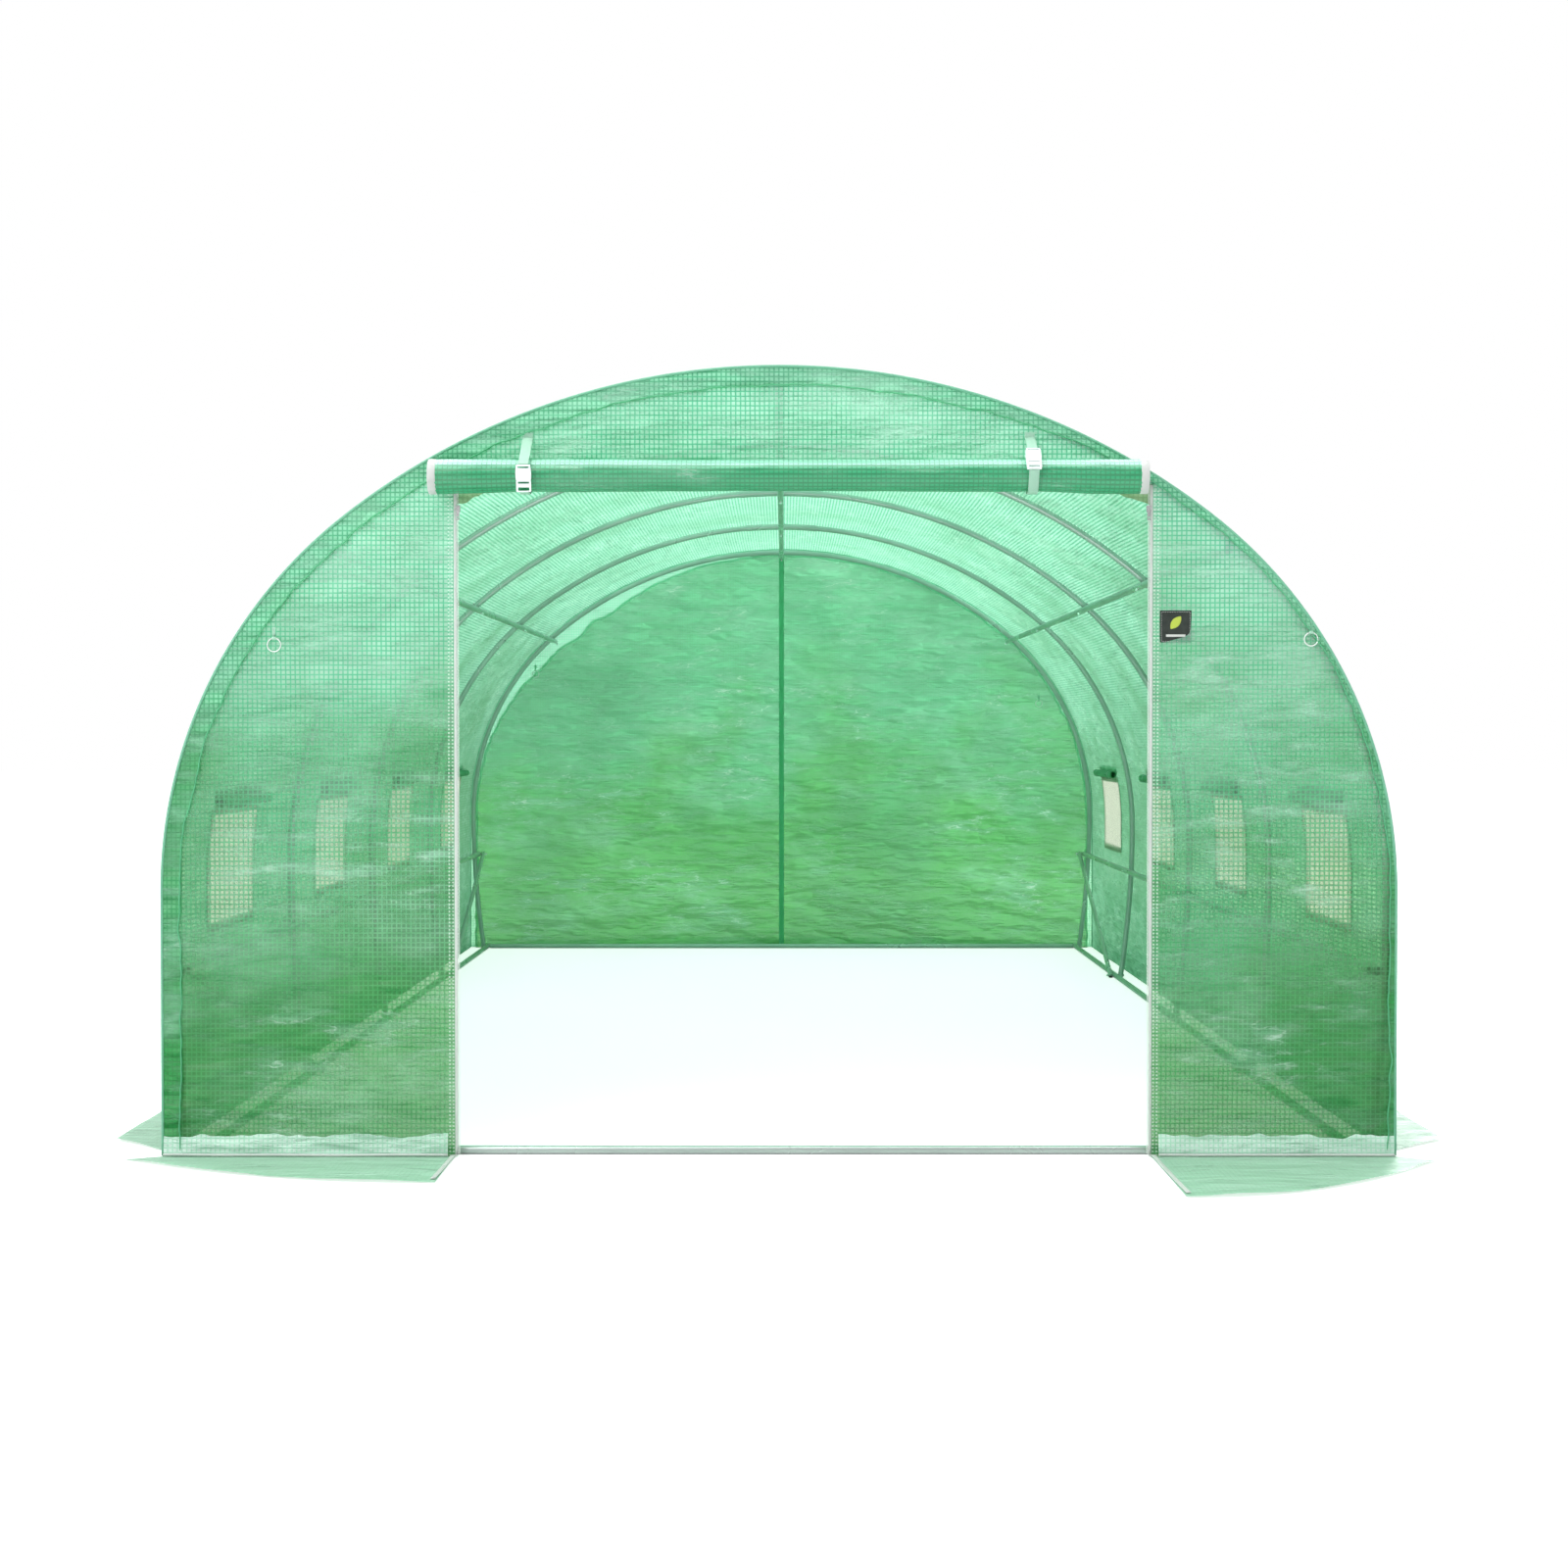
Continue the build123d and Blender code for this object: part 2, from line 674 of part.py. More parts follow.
def strap_sling(x, buckle_angle):
    """Taut webbing from the buckle's plug, under the roll and up its back to the header."""
    start = buckle_plane(x, buckle_angle).from_local_coords((0, -plug_length - strap_thickness, strap_lift))
    sling_end = (anchor_y, header_bottom + sling_seam)
    first = touching_angle(start.Y, start.Z, -1)
    last = touching_angle(*sling_end, 1)
    with BuildPart() as strap:
        with BuildSketch(Plane.YZ.offset(x - strap_width / 2)):
            with BuildLine():
                Line((start.Y, start.Z), around_roll(strap_path_radius, first))
                ThreePointArc(
                    around_roll(strap_path_radius, first),
                    around_roll(strap_path_radius, (first + last) / 2),
                    around_roll(strap_path_radius, last),
                )
                Line(around_roll(strap_path_radius, last), sling_end)
            trace(line_width=strap_thickness)
        extrude(amount=strap_width)
    return strap.part


def socket_outline():
    """Outline of the socket, wider at its mouth than at its top, with swelling sides."""
    mouth, top = buckle_width / 2, buckle_top_width / 2
    middle = (mouth + top) / 2 + buckle_swell
    with BuildSketch() as outline:
        with BuildLine():
            Line((-mouth, 0), (mouth, 0))
            ThreePointArc((mouth, 0), (middle, socket_length / 2), (top, socket_length))
            Line((top, socket_length), (-top, socket_length))
            ThreePointArc((-top, socket_length), (-middle, socket_length / 2), (-mouth, 0))
        make_face()
    return outline.sketch


def buckle_socket():
    """Socket half: a flat box open at the bottom, with side windows and a webbing bar on top."""
    inner_width = buckle_width - 2 * socket_wall
    inner_depth = socket_thickness - 2 * socket_wall
    with BuildPart() as socket:
        add(extrude(socket_outline(), socket_thickness))
        fillet(socket.faces().sort_by(Axis.Z)[-1].edges(), buckle_edge)
        with Locations((0, 0, socket_wall)):
            Box(inner_width, prong_length + bar_height, inner_depth, mode=Mode.SUBTRACT,
                align=(Align.CENTER, Align.MIN, Align.MIN))
        with Locations((0, prong_length * 0.6, socket_thickness / 2)):
            Box(2 * buckle_width, prong_length * 0.5, inner_depth * 0.7, mode=Mode.SUBTRACT)
        with Locations((0, socket_length - bar_height / 2 - slot_height / 2, 0)):
            Box(slot_width, slot_height, 4 * socket_thickness, mode=Mode.SUBTRACT)
    return socket.part


def buckle_plug():
    """Plug half: a webbing ladder with two side prongs and a middle tongue up in the socket."""
    inner_width = buckle_width - 2 * socket_wall
    middle = socket_thickness / 2
    prong_x = inner_width / 2 - buckle_play - prong_width / 2
    first_slot = -bar_height - slot_height / 2
    last_slot = -plug_length + bar_height / 2 + plug_slot_height / 2
    with BuildPart() as plug:
        with Locations((0, -buckle_play, middle)):
            Box(buckle_width, plug_length - buckle_play, plug_thickness + 1,
                align=(Align.CENTER, Align.MAX, Align.CENTER))
        fillet(plug.edges().filter_by(Axis.Z), 2 * buckle_edge)
        with Locations((0, first_slot, middle)):
            Box(slot_width, slot_height, 4 * socket_thickness, mode=Mode.SUBTRACT)
        with Locations((0, last_slot, middle)):
            Box(slot_width, plug_slot_height, 4 * socket_thickness, mode=Mode.SUBTRACT)
        with Locations((prong_x, -prong_root, middle), (-prong_x, -prong_root, middle)):
            Box(prong_width, prong_length, plug_thickness - 1, align=(Align.CENTER, Align.MIN, Align.CENTER))
        with Locations((0, -prong_root, middle)):
            Box(prong_width, tongue_length, plug_thickness - 1, align=(Align.CENTER, Align.MIN, Align.CENTER))
    return plug.part


for x, angle, name in ((-strap_x, left_buckle_angle, "left"), (strap_x, right_buckle_angle, "right")):
    save(strap_front(x, angle), f"strap_front_{name}")
    with BuildPart() as socket_half:
        with Locations(buckle_plane(x, angle).location):
            add(buckle_socket())
    save(socket_half.part, f"buckle_socket_{name}")
    with BuildPart() as plug_half:
        with Locations(buckle_plane(x, angle).location):
            add(buckle_plug())
    save(plug_half.part, f"buckle_plug_{name}")

with BuildPart() as strap_slings:
    add(strap_sling(-strap_x, left_buckle_angle))
    add(strap_sling(strap_x, right_buckle_angle))
save(strap_slings.part, "strap_slings")

# ---------------------------------------------------------------- rings and label

# Each ring hangs from a webbing loop: (name, x, height of its centre, y of the wall, way it faces)
ring_places = (
    ("front_left", -1243, 1265, -face_y, -1),
    ("front_right", 1310, 1279, -face_y, -1),
    ("rear_left", -1203, 1340, wall_y, -1),
    ("rear_right", 1260, 1196, wall_y, -1),
)

for name, x, z, y, out in ring_places:
    with BuildPart() as ring:
        with Locations(Location((x, y + out * loop_radius, z), (90, 0, 0))):
            Torus(ring_radius, ring_wire)
    save(ring.part, f"ring_{name}")

with BuildPart() as ring_loops:
    for name, x, z, y, out in ring_places:
        loop_z = z + ring_radius
        with BuildSketch(Plane.YZ.offset(x - loop_width / 2)):
            with Locations((y + out * loop_radius, loop_z)):
                Circle(loop_radius)
            with Locations((y + out * tape_thickness / 2, loop_z + loop_tab_height / 2)):
                Rectangle(tape_thickness, loop_tab_height)
            with Locations((y + out * loop_radius, loop_z)):
                Circle(loop_bore, mode=Mode.SUBTRACT)
        extrude(amount=loop_width)
save(ring_loops.part, "ring_loops")

with BuildPart() as label:
    with Locations((label_left, -face_y, label_bottom)):
        Box(label_width, label_thickness, label_height, align=(Align.MIN, Align.MAX, Align.MIN))
    fillet(label.edges().filter_by(Axis.Y), 3)
save(label.part, "label")

print("crown radius", round(crown_radius, 1), "shoulder angle", round(shoulder_angle, 2))
print("leg radius", round(leg_radius, 1), "flap roll x", round(flap_roll_x, 1), "roll y", round(roll_y, 1))
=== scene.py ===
import math

import bpy
import numpy as np
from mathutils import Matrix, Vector, noise


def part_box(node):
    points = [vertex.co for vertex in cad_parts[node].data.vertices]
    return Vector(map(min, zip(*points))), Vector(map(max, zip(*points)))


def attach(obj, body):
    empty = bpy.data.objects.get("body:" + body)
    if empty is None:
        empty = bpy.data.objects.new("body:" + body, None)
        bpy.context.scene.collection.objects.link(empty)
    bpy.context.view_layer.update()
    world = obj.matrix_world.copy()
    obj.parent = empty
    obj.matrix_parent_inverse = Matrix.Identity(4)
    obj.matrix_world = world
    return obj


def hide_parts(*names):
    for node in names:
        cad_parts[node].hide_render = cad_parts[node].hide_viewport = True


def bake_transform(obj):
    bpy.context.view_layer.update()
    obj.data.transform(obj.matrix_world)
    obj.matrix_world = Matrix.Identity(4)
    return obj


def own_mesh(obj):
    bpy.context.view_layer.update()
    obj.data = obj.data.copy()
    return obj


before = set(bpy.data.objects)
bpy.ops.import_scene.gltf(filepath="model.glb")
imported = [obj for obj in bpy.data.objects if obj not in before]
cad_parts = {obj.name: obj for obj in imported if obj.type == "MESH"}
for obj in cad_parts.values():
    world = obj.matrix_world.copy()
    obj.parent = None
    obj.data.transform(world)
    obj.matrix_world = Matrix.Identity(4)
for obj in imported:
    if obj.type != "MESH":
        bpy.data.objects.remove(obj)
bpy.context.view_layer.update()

# Walk-in tunnel greenhouse. X runs across it, Y along it with the doorway towards -Y,
# Z is up and the origin is on the ground. Sizes are in metres.
ROOT = "frame_and_cover"
SIDES = ((-1, "left"), (1, "right"))
scene = bpy.context.scene

# ---- sizes


def middle(name, axis):
    """Middle of a node's box along an axis."""
    low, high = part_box(name)
    return (low[axis] + high[axis]) / 2


def half(name, axis):
    """Half of a node's size along an axis."""
    low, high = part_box(name)
    return (high[axis] - low[axis]) / 2


half_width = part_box("cover_right")[1][0]
cover_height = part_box("cover_roof")[1][2]
wall_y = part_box("cover_roof")[1][1]
face_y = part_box("rear_panel_left")[1][1]
door_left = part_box("front_panel_left")[1][0]
door_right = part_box("front_panel_right")[0][0]
header_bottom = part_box("front_header")[0][2]
hoop_ys = [middle(f"hoop_{n}_right_bow", 1) for n in range(1, 6)]
bay_ys = [(a + b) / 2 for a, b in zip(hoop_ys, hoop_ys[1:])]

spring_height = 0.65
shoulder_radius = 1.165
cover_out = 0.0185  # from the hoops' centreline to the cover's outer face
cloth_middle = -0.001  # the sheet lies in the middle of its solid's thickness
weave_pitch = 0.0118

shoulder_x = half_width - cover_out - shoulder_radius
rise = cover_height - cover_out - spring_height
crown_radius = (shoulder_x**2 + rise**2 - shoulder_radius**2) / (2 * (rise - shoulder_radius))
crown_z = cover_height - cover_out - crown_radius
shoulder_turn = math.atan2(spring_height - crown_z, shoulder_x)
shoulder_run = (shoulder_radius + cover_out) * shoulder_turn
crown_run = (crown_radius + cover_out) * (math.pi / 2 - shoulder_turn)
half_run = spring_height + shoulder_run + crown_run


def arch(run, out=0.0):
    """x, z and the outward normal at a run along the cover from its left foot, out beyond it."""
    run = np.asarray(run, float)
    side = np.where(run < half_run, -1.0, 1.0)
    climbed = half_run - np.abs(run - half_run)
    on_side = climbed < spring_height
    on_shoulder = climbed < spring_height + shoulder_run
    shoulder_turned = (climbed - spring_height) / (shoulder_radius + cover_out)
    crown_turned = shoulder_turn + (climbed - spring_height - shoulder_run) / (crown_radius + cover_out)
    turned = np.where(on_side, 0.0, np.where(on_shoulder, shoulder_turned, crown_turned))
    radius = np.where(on_shoulder, shoulder_radius, crown_radius) + cover_out + out
    x = np.where(on_shoulder, shoulder_x, 0.0) + radius * np.cos(turned)
    z = np.where(on_shoulder, spring_height, crown_z) + radius * np.sin(turned)
    z = np.where(on_side, climbed, z)
    return side * x, z, side * np.cos(turned), np.sin(turned)


def run_at_height(height):
    """Run from the left foot at which the cover reaches a height."""
    runs = np.linspace(0, half_run, 4000)
    return float(np.interp(height, arch(runs)[1], runs))


# ---- helpers for shapes

def smooth(value, low, high):
    """0 below low and 1 above high, with a smooth step between them."""
    t = np.clip((np.asarray(value, float) - low) / (high - low), 0, 1)
    return t * t * (3 - 2 * t)


def between(start, end, share):
    """Value at a share of the way from a start to an end."""
    return start + (end - start) * share


def bell(offset, width):
    """1 at no offset, falling smoothly to 0 beyond about twice a width."""
    return np.exp(-((offset / width) ** 2))


def waves(a, b, scale_a, scale_b, seed):
    """Smooth noise from -1 to 1 over two arrays, with a wavelength along each."""
    a, b = np.broadcast_arrays(a, b)
    flat = zip((a / scale_a).ravel(), (b / scale_b).ravel())
    return np.array([noise.noise((p, q, seed)) for p, q in flat]).reshape(a.shape)


def creases(a, b, scale_a, scale_b, seed):
    """Noise with sharp ridges at 1, like the folds of stiff film."""
    return 1 - 2 * np.abs(waves(a, b, scale_a, scale_b, seed)) ** 0.7


def crumple(a, b, size, seed):
    """Folds and fine crinkles of film cloth, about -1 to 1."""
    lean = 0.35 * b
    big = creases(a + lean, b - 0.2 * a, 2.4 * size, size, seed)
    medium = creases(a - lean, b, 0.9 * size, 0.5 * size, seed + 7)
    small = waves(a, b, 0.3 * size, 0.22 * size, seed + 13)
    return 0.55 * big + 0.3 * medium + 0.15 * small


def steps(*stops, size):
    """Values through the stops in turn, about a size apart."""
    runs = [np.linspace(a, b, max(1, round((b - a) / size)), endpoint=False)
            for a, b in zip(stops, stops[1:])]
    return np.append(np.concatenate(runs), stops[-1])


def places(x, y, z):
    """Points from their coordinates."""
    return np.stack(np.broadcast_arrays(x, y, z), -1)


def publish(name, points, faces, cloth, materials, slot, body=ROOT, material_index=None):
    """Make one piece from its points, faces and flat-cloth coordinates."""
    points = np.asarray(points, float).reshape(-1, 3)
    cloth = np.asarray(cloth, float).reshape(-1, 2)
    if isinstance(faces, np.ndarray):
        used, renumbered = np.unique(faces, return_inverse=True)
        points, cloth = points[used], cloth[used]
        faces = renumbered.reshape(faces.shape).tolist()
    mesh = bpy.data.meshes.new(name)
    mesh.from_pydata(points.tolist(), [], faces)
    flat = np.zeros((len(points), 3))
    flat[:, :2] = cloth
    mesh.attributes.new("cloth", "FLOAT_VECTOR", "POINT").data.foreach_set("vector", flat.ravel())
    for material in materials:
        mesh.materials.append(material)
    if material_index is not None:
        mesh.polygons.foreach_set("material_index", np.asarray(material_index, np.int32).ravel())
    mesh.shade_smooth()
    piece = bpy.data.objects.new(name, mesh)
    scene.collection.objects.link(piece)
    if body is not None:
        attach(piece, body)
    return piece


def sheet_of(name, x, y, z, u, v, materials, slot, body=ROOT, keep=None, index=None):
    """One sheet from grids of places and of flat-cloth coordinates, or the cells of it to keep."""
    x, y, z, u, v = np.broadcast_arrays(x, y, z, u, v)
    corner = np.arange(x.size).reshape(x.shape)
    cells = np.stack([corner[:-1, :-1], corner[:-1, 1:], corner[1:, 1:], corner[1:, :-1]], -1)
    faces = cells.reshape(-1, 4) if keep is None else cells[keep]
    return publish(name, places(x, y, z), faces, np.stack([u, v], -1), materials, slot, body, index)


def band_mesh(path, across, width, thickness, squareness=5, around=12):
    """Points, faces and cloth coordinates of a closed band or cord swept along a path."""
    path = np.asarray(path, float)
    across = np.broadcast_to(np.asarray(across, float), path.shape)
    along = np.gradient(path, axis=0)
    along /= np.linalg.norm(along, axis=1, keepdims=True)
    up = np.cross(along, across)
    up /= np.linalg.norm(up, axis=1, keepdims=True)
    turn = np.arange(around) * 2 * math.pi / around
    power = 2 / squareness
    wide = np.sign(np.cos(turn)) * np.abs(np.cos(turn)) ** power * width / 2
    deep = np.sign(np.sin(turn)) * np.abs(np.sin(turn)) ** power * thickness / 2
    rings = path[:, None] + across[:, None] * wide[:, None] + up[:, None] * deep[:, None]
    count = len(path)
    faces = []
    for i in range(count - 1):
        for j in range(around):
            k = (j + 1) % around
            faces.append((i * around + j, (i + 1) * around + j, (i + 1) * around + k, i * around + k))
    faces.append(tuple(range(around)))
    faces.append(tuple(reversed(range((count - 1) * around, count * around))))
    run = np.append(0, np.cumsum(np.linalg.norm(np.diff(path, axis=0), axis=1)))
    cloth = np.stack(np.broadcast_arrays(wide[None, :], run[:, None]), -1)
    return rings.reshape(-1, 3), faces, cloth.reshape(-1, 2)


def joined(meshes):
    """Several band meshes as one."""
    points, faces, cloth, start = [], [], [], 0
    for more_points, more_faces, more_cloth in meshes:
        points.append(more_points)
        cloth.append(more_cloth)
        faces += [tuple(n + start for n in face) for face in more_faces]
        start += len(more_points)
    return np.concatenate(points), faces, np.concatenate(cloth)


def band(name, path, across, width, thickness, material, slot, body=ROOT, **form):
    """One band, webbing or cord as a piece."""
    return publish(name, *band_mesh(path, across, width, thickness, **form), [material], slot, body)


# ---- helpers for materials

class Finish:
    """A material under construction, with short ways to add its nodes."""

    def __init__(self, name):
        self.material = bpy.data.materials.new(name)
        self.material.use_nodes = True
        self.tree = self.material.node_tree
        self.tree.nodes.clear()
        self.output = self.tree.nodes.new("ShaderNodeOutputMaterial")

    def node(self, kind, inputs=None, **settings):
        made = self.tree.nodes.new(kind)
        for key, value in settings.items():
            setattr(made, key, value)
        for key, value in (inputs or {}).items():
            socket = made.inputs[key]
            if isinstance(value, bpy.types.NodeSocket):
                self.tree.links.new(value, socket)
            else:
                socket.default_value = (*value, 1.0) if socket.type == "RGBA" else value
        return made

    def math(self, operation, a, b=0.0):
        return self.node("ShaderNodeMath", {0: a, 1: b}, operation=operation).outputs[0]

    def times(self, value, *others):
        for other in others:
            value = self.math("MULTIPLY", value, other)
        return value

    def ramp(self, value, low, high, to_low=0.0, to_high=1.0):
        inputs = {0: value, 1: low, 2: high, 3: to_low, 4: to_high}
        return self.node("ShaderNodeMapRange", inputs, interpolation_type="SMOOTHSTEP").outputs[0]

    def colour(self, factor, a, b):
        return self.node("ShaderNodeMix", {0: factor, 6: a, 7: b}, data_type="RGBA").outputs[2]

    def place(self):
        return self.node("ShaderNodeTexCoord").outputs["Object"]

    def cloth(self):
        return self.node("ShaderNodeAttribute", attribute_name="cloth").outputs["Vector"]

    def axes(self, vector):
        return self.node("ShaderNodeSeparateXYZ", {0: vector}).outputs

    def scaled(self, vector, x, y, turn=0.0):
        inputs = {"Vector": vector, "Scale": (x, y, 1.0), "Rotation": (0, 0, turn)}
        return self.node("ShaderNodeMapping", inputs).outputs[0]

    def noise(self, vector, scale, detail=2.0, rough=0.5):
        inputs = {"Vector": vector, "Scale": scale, "Detail": detail, "Roughness": rough}
        return self.node("ShaderNodeTexNoise", inputs).outputs[0]

    def drawn(self, vector, x, y, turn, detail, rough=0.5):
        """Noise at a scale for each direction, turned a little."""
        return self.noise(self.scaled(vector, x, y, turn), 1.0, detail, rough)

    def lines(self, value, pitch, half, soft):
        """1 on lines a pitch apart, 0 between them."""
        away = self.math("PINGPONG", value, pitch / 2)
        return self.ramp(away, half - soft, half + soft, 1.0, 0.0)

    def ridges(self, vector, spread, detail):
        """1 along wavy crests, falling to 0 a spread away from them."""
        away = self.math("ABSOLUTE", self.math("SUBTRACT", self.noise(vector, 1.0, detail), 0.5))
        return self.ramp(away, 0.0, spread, 1.0, 0.0)

    def bump(self, height, strength):
        inputs = {"Height": height, "Distance": 1.0, "Strength": strength}
        return self.node("ShaderNodeBump", inputs).outputs[0]

    def glossy(self, colour, roughness, normal=None, **extra):
        inputs = {"Base Color": colour, "Roughness": roughness}
        inputs.update({key.replace("_", " "): value for key, value in extra.items()})
        if normal is not None:
            inputs["Normal"] = normal
        return self.node("ShaderNodeBsdfPrincipled", inputs).outputs[0]

    def through(self, colour, normal):
        return self.node("ShaderNodeBsdfTranslucent", {"Color": colour, "Normal": normal}).outputs[0]

    def clear(self, colour):
        return self.node("ShaderNodeBsdfTransparent", {"Color": colour}).outputs[0]

    def blend(self, factor, a, b):
        return self.node("ShaderNodeMixShader", {0: factor, 1: a, 2: b}).outputs[0]

    def done(self, shader):
        self.tree.links.new(shader, self.output.inputs["Surface"])
        return self.material


def film_cloth(name, film_low, film_high, thread_low, thread_high, clearness, glow, pale_from=0.2,
               pale_to=1.9, wrinkle=0.05, open_edge=None, thread_halves=(0.0017, 0.0017), glints=0.3,
               see_low=1.0, coat=0.0, shade=0.15, painted_top_light=None, see_high=1.0, highlight_low=1.0,
               tint_low=(0.5, 0.88, 0.52), tint_high=(0.62, 0.96, 0.74)):
    """Woven-grid greenhouse film: deeper green near the ground and paler up high, where light floods it."""
    f = Finish(name)
    place = f.place()
    cloth = f.cloth()
    u, v, _ = f.axes(cloth)
    across, _, height = f.axes(place)
    patchy = f.noise(place, 2.4, 3.0)
    lifted = f.math("ADD", height, f.ramp(patchy, 0.3, 0.7, -0.3, 0.3))
    pale = f.ramp(lifted, pale_from, pale_to)
    soft = 0.0011
    threads = f.math("MAXIMUM", f.lines(u, weave_pitch, thread_halves[0], soft),
                     f.lines(v, weave_pitch, thread_halves[1], soft))

    # Streaky creasing and sparse sharper crests, for relief and gloss, and as masks of painted highlights
    streaky = f.ramp(f.drawn(cloth, 5.0, 21.0, 0.07, 7.0, 0.64), 0.44, 0.7)
    patch = f.ramp(f.drawn(cloth, 2.0, 3.2, 0.3, 2.0), 0.42, 0.66)
    streaks = f.times(streaky, f.ramp(patch, 0.0, 1.0, 0.35, 1.0))
    crest = f.times(f.ridges(f.scaled(cloth, 6.0, 24.0, -0.09), 0.022, 5.0), patch, streaky)

    # Film and threads, paler up high as painted light, with painted highlights on cloudy patches, streaks
    # and crests
    colour = f.colour(threads, f.colour(pale, film_low, film_high), f.colour(pale, thread_low, thread_high))
    cloudy_highlight = f.ramp(f.drawn(cloth, 2.2, 3.6, 0.15, 4.0, 0.6), 0.46, 0.76)
    # Painted highlight colour, mixed in on cloudy patches, streaks and crests, less near the ground
    painted_highlight = f.colour(0.4, film_high, (0.7, 0.95, 0.85))
    highlight_share = f.ramp(height, 0.2, 1.1, glints * highlight_low, glints)
    colour = f.colour(f.times(cloudy_highlight, highlight_share), colour, painted_highlight)
    colour = f.colour(f.times(streaks, 1.3, highlight_share), colour, painted_highlight)
    colour = f.colour(f.times(crest, glints * 1.6), colour, (0.84, 0.99, 0.92))
    # Painted shade: large soft darker blotches of uneven light, as strong as shade
    shaded = f.ramp(f.drawn(place, 0.9, 1.3, 0.5, 4.0, 0.55), 0.42, 0.64)
    deeper = f.node("ShaderNodeVectorMath", {0: colour, 1: (0.42, 0.62, 0.5)}, operation="MULTIPLY")
    colour = f.colour(f.times(shaded, shade), colour, deeper.outputs[0])
    # Painted highlight: a paler band on the stretch of the door's cloth that lies over the top of the roll,
    # where light falls, weaker on the threads
    if painted_top_light is not None:
        start, end = painted_top_light
        begun, ended = f.ramp(v, start - 0.008, start + 0.014), f.ramp(v, end - 0.01, end + 0.01, 1.0, 0.0)
        top_light_share = f.times(begun, ended, f.ramp(threads, 0.0, 1.0, 0.85, 0.35))
        colour = f.colour(top_light_share, colour, (0.42, 0.93, 0.72))

    # Relief: folds, crumpled facets and threads
    folds = f.drawn(cloth, 2.2, 7.0, 0.12, 3.0, 0.55)
    bent = f.drawn(cloth, 5.0, 9.0, 0.0, 2.0)
    shifted = f.node("ShaderNodeVectorMath", {0: f.scaled(cloth, 7.0, 22.0, -0.1), 1: bent}, operation="ADD")
    facets = f.node("ShaderNodeTexVoronoi", {"Vector": shifted.outputs[0], "Scale": 1.0}, feature="F1")
    relief = f.math("ADD", f.times(folds, wrinkle * 1.6), f.times(facets.outputs[0], wrinkle * 0.22))
    relief = f.math("ADD", relief, f.times(streaky, wrinkle * 0.1))
    relief = f.math("ADD", relief, f.times(threads, 0.0006))
    normal = f.bump(relief, 0.8)
    surface = f.glossy(colour, f.ramp(streaky, 0.0, 1.0, 0.4, 0.24), normal, Specular_IOR_Level=0.6,
                       Coat_Weight=coat, Coat_Roughness=0.22)
    light = f.through(f.colour(0.3, colour, (0.4, 1.0, 0.62)), normal)
    result = f.blend(glow, surface, light)

    if clearness:
        see = f.times(f.ramp(threads, 0.0, 1.0, 1.0, 0.12), clearness, f.ramp(streaks, 0.0, 1.0, 1.0, 0.6),
                      f.ramp(height, 0.25, 0.68, see_low, 1.0), f.ramp(height, 0.85, 1.25, 1.0, see_high))
        result = f.blend(see, result, f.clear(f.colour(pale, tint_low, tint_high)))
    if open_edge is not None:
        # Stitching on a band beside the doorway
        doorway_middle, doorway_half = open_edge
        from_middle = f.math("ABSOLUTE", f.math("SUBTRACT", across, doorway_middle))
        beyond = f.math("SUBTRACT", from_middle, doorway_half)
        in_band = f.times(f.ramp(beyond, 0.001, 0.003), f.ramp(beyond, 0.016, 0.018, 1.0, 0.0))
        below = f.ramp(height, header_bottom - 0.02, header_bottom, 1.0, 0.0)
        gaps = f.math("MAXIMUM", *[f.lines(value, 0.009, 0.0026, 0.0008) for value in (beyond, v)])
        stitch = f.times(in_band, below, f.math("SUBTRACT", 1.0, gaps), 0.55)
        result = f.blend(stitch, result, f.glossy((0.93, 0.99, 0.95), 0.6))
    return f.done(result)


def woven(name, light, dark, pitch, clearness=0.0, glow=0.25, roughness=0.6, seen=(0.96, 0.98, 0.93)):
    """Webbing, tape or netting: an over-and-under weave of two directions."""
    f = Finish(name)
    place = f.cloth()
    u, v, _ = f.axes(place)
    warp = f.lines(u, pitch, pitch * 0.28, pitch * 0.12)
    weft = f.lines(v, pitch, pitch * 0.28, pitch * 0.12)
    thread = f.math("MAXIMUM", warp, weft)
    dirt = f.noise(place, 40.0, 3.0)
    colour = f.colour(f.times(thread, 0.8), dark, light)
    colour = f.colour(f.ramp(dirt, 0.4, 0.8, 0.0, 0.25), colour, dark)
    normal = f.bump(f.times(f.math("ADD", warp, weft), 0.0005), 0.8)
    surface = f.glossy(colour, f.ramp(dirt, 0.3, 0.7, roughness - 0.15, roughness + 0.15), normal)
    body = f.blend(glow, surface, f.through(light, normal))
    if clearness:
        see = f.times(f.math("SUBTRACT", 1.0, thread), clearness)
        body = f.blend(see, body, f.clear(seen))
    return f.done(body)


def hard(name, colour, worn, roughness, metallic=0.0, grain=60.0, relief=0.0003, **extra):
    """Metal or moulded plastic with fine grain, blotches and uneven gloss."""
    f = Finish(name)
    place = f.place()
    blotch = f.noise(place, grain * 0.35, 4.0, 0.6)
    fine = f.noise(place, grain * 8, 2.0)
    tone = f.colour(f.ramp(blotch, 0.35, 0.7), colour, worn)
    normal = f.bump(f.times(fine, relief), 0.5)
    rough = f.ramp(blotch, 0.3, 0.75, roughness - 0.08, roughness + 0.12)
    return f.done(f.glossy(tone, rough, normal, Metallic=metallic, **extra))


# ---- materials

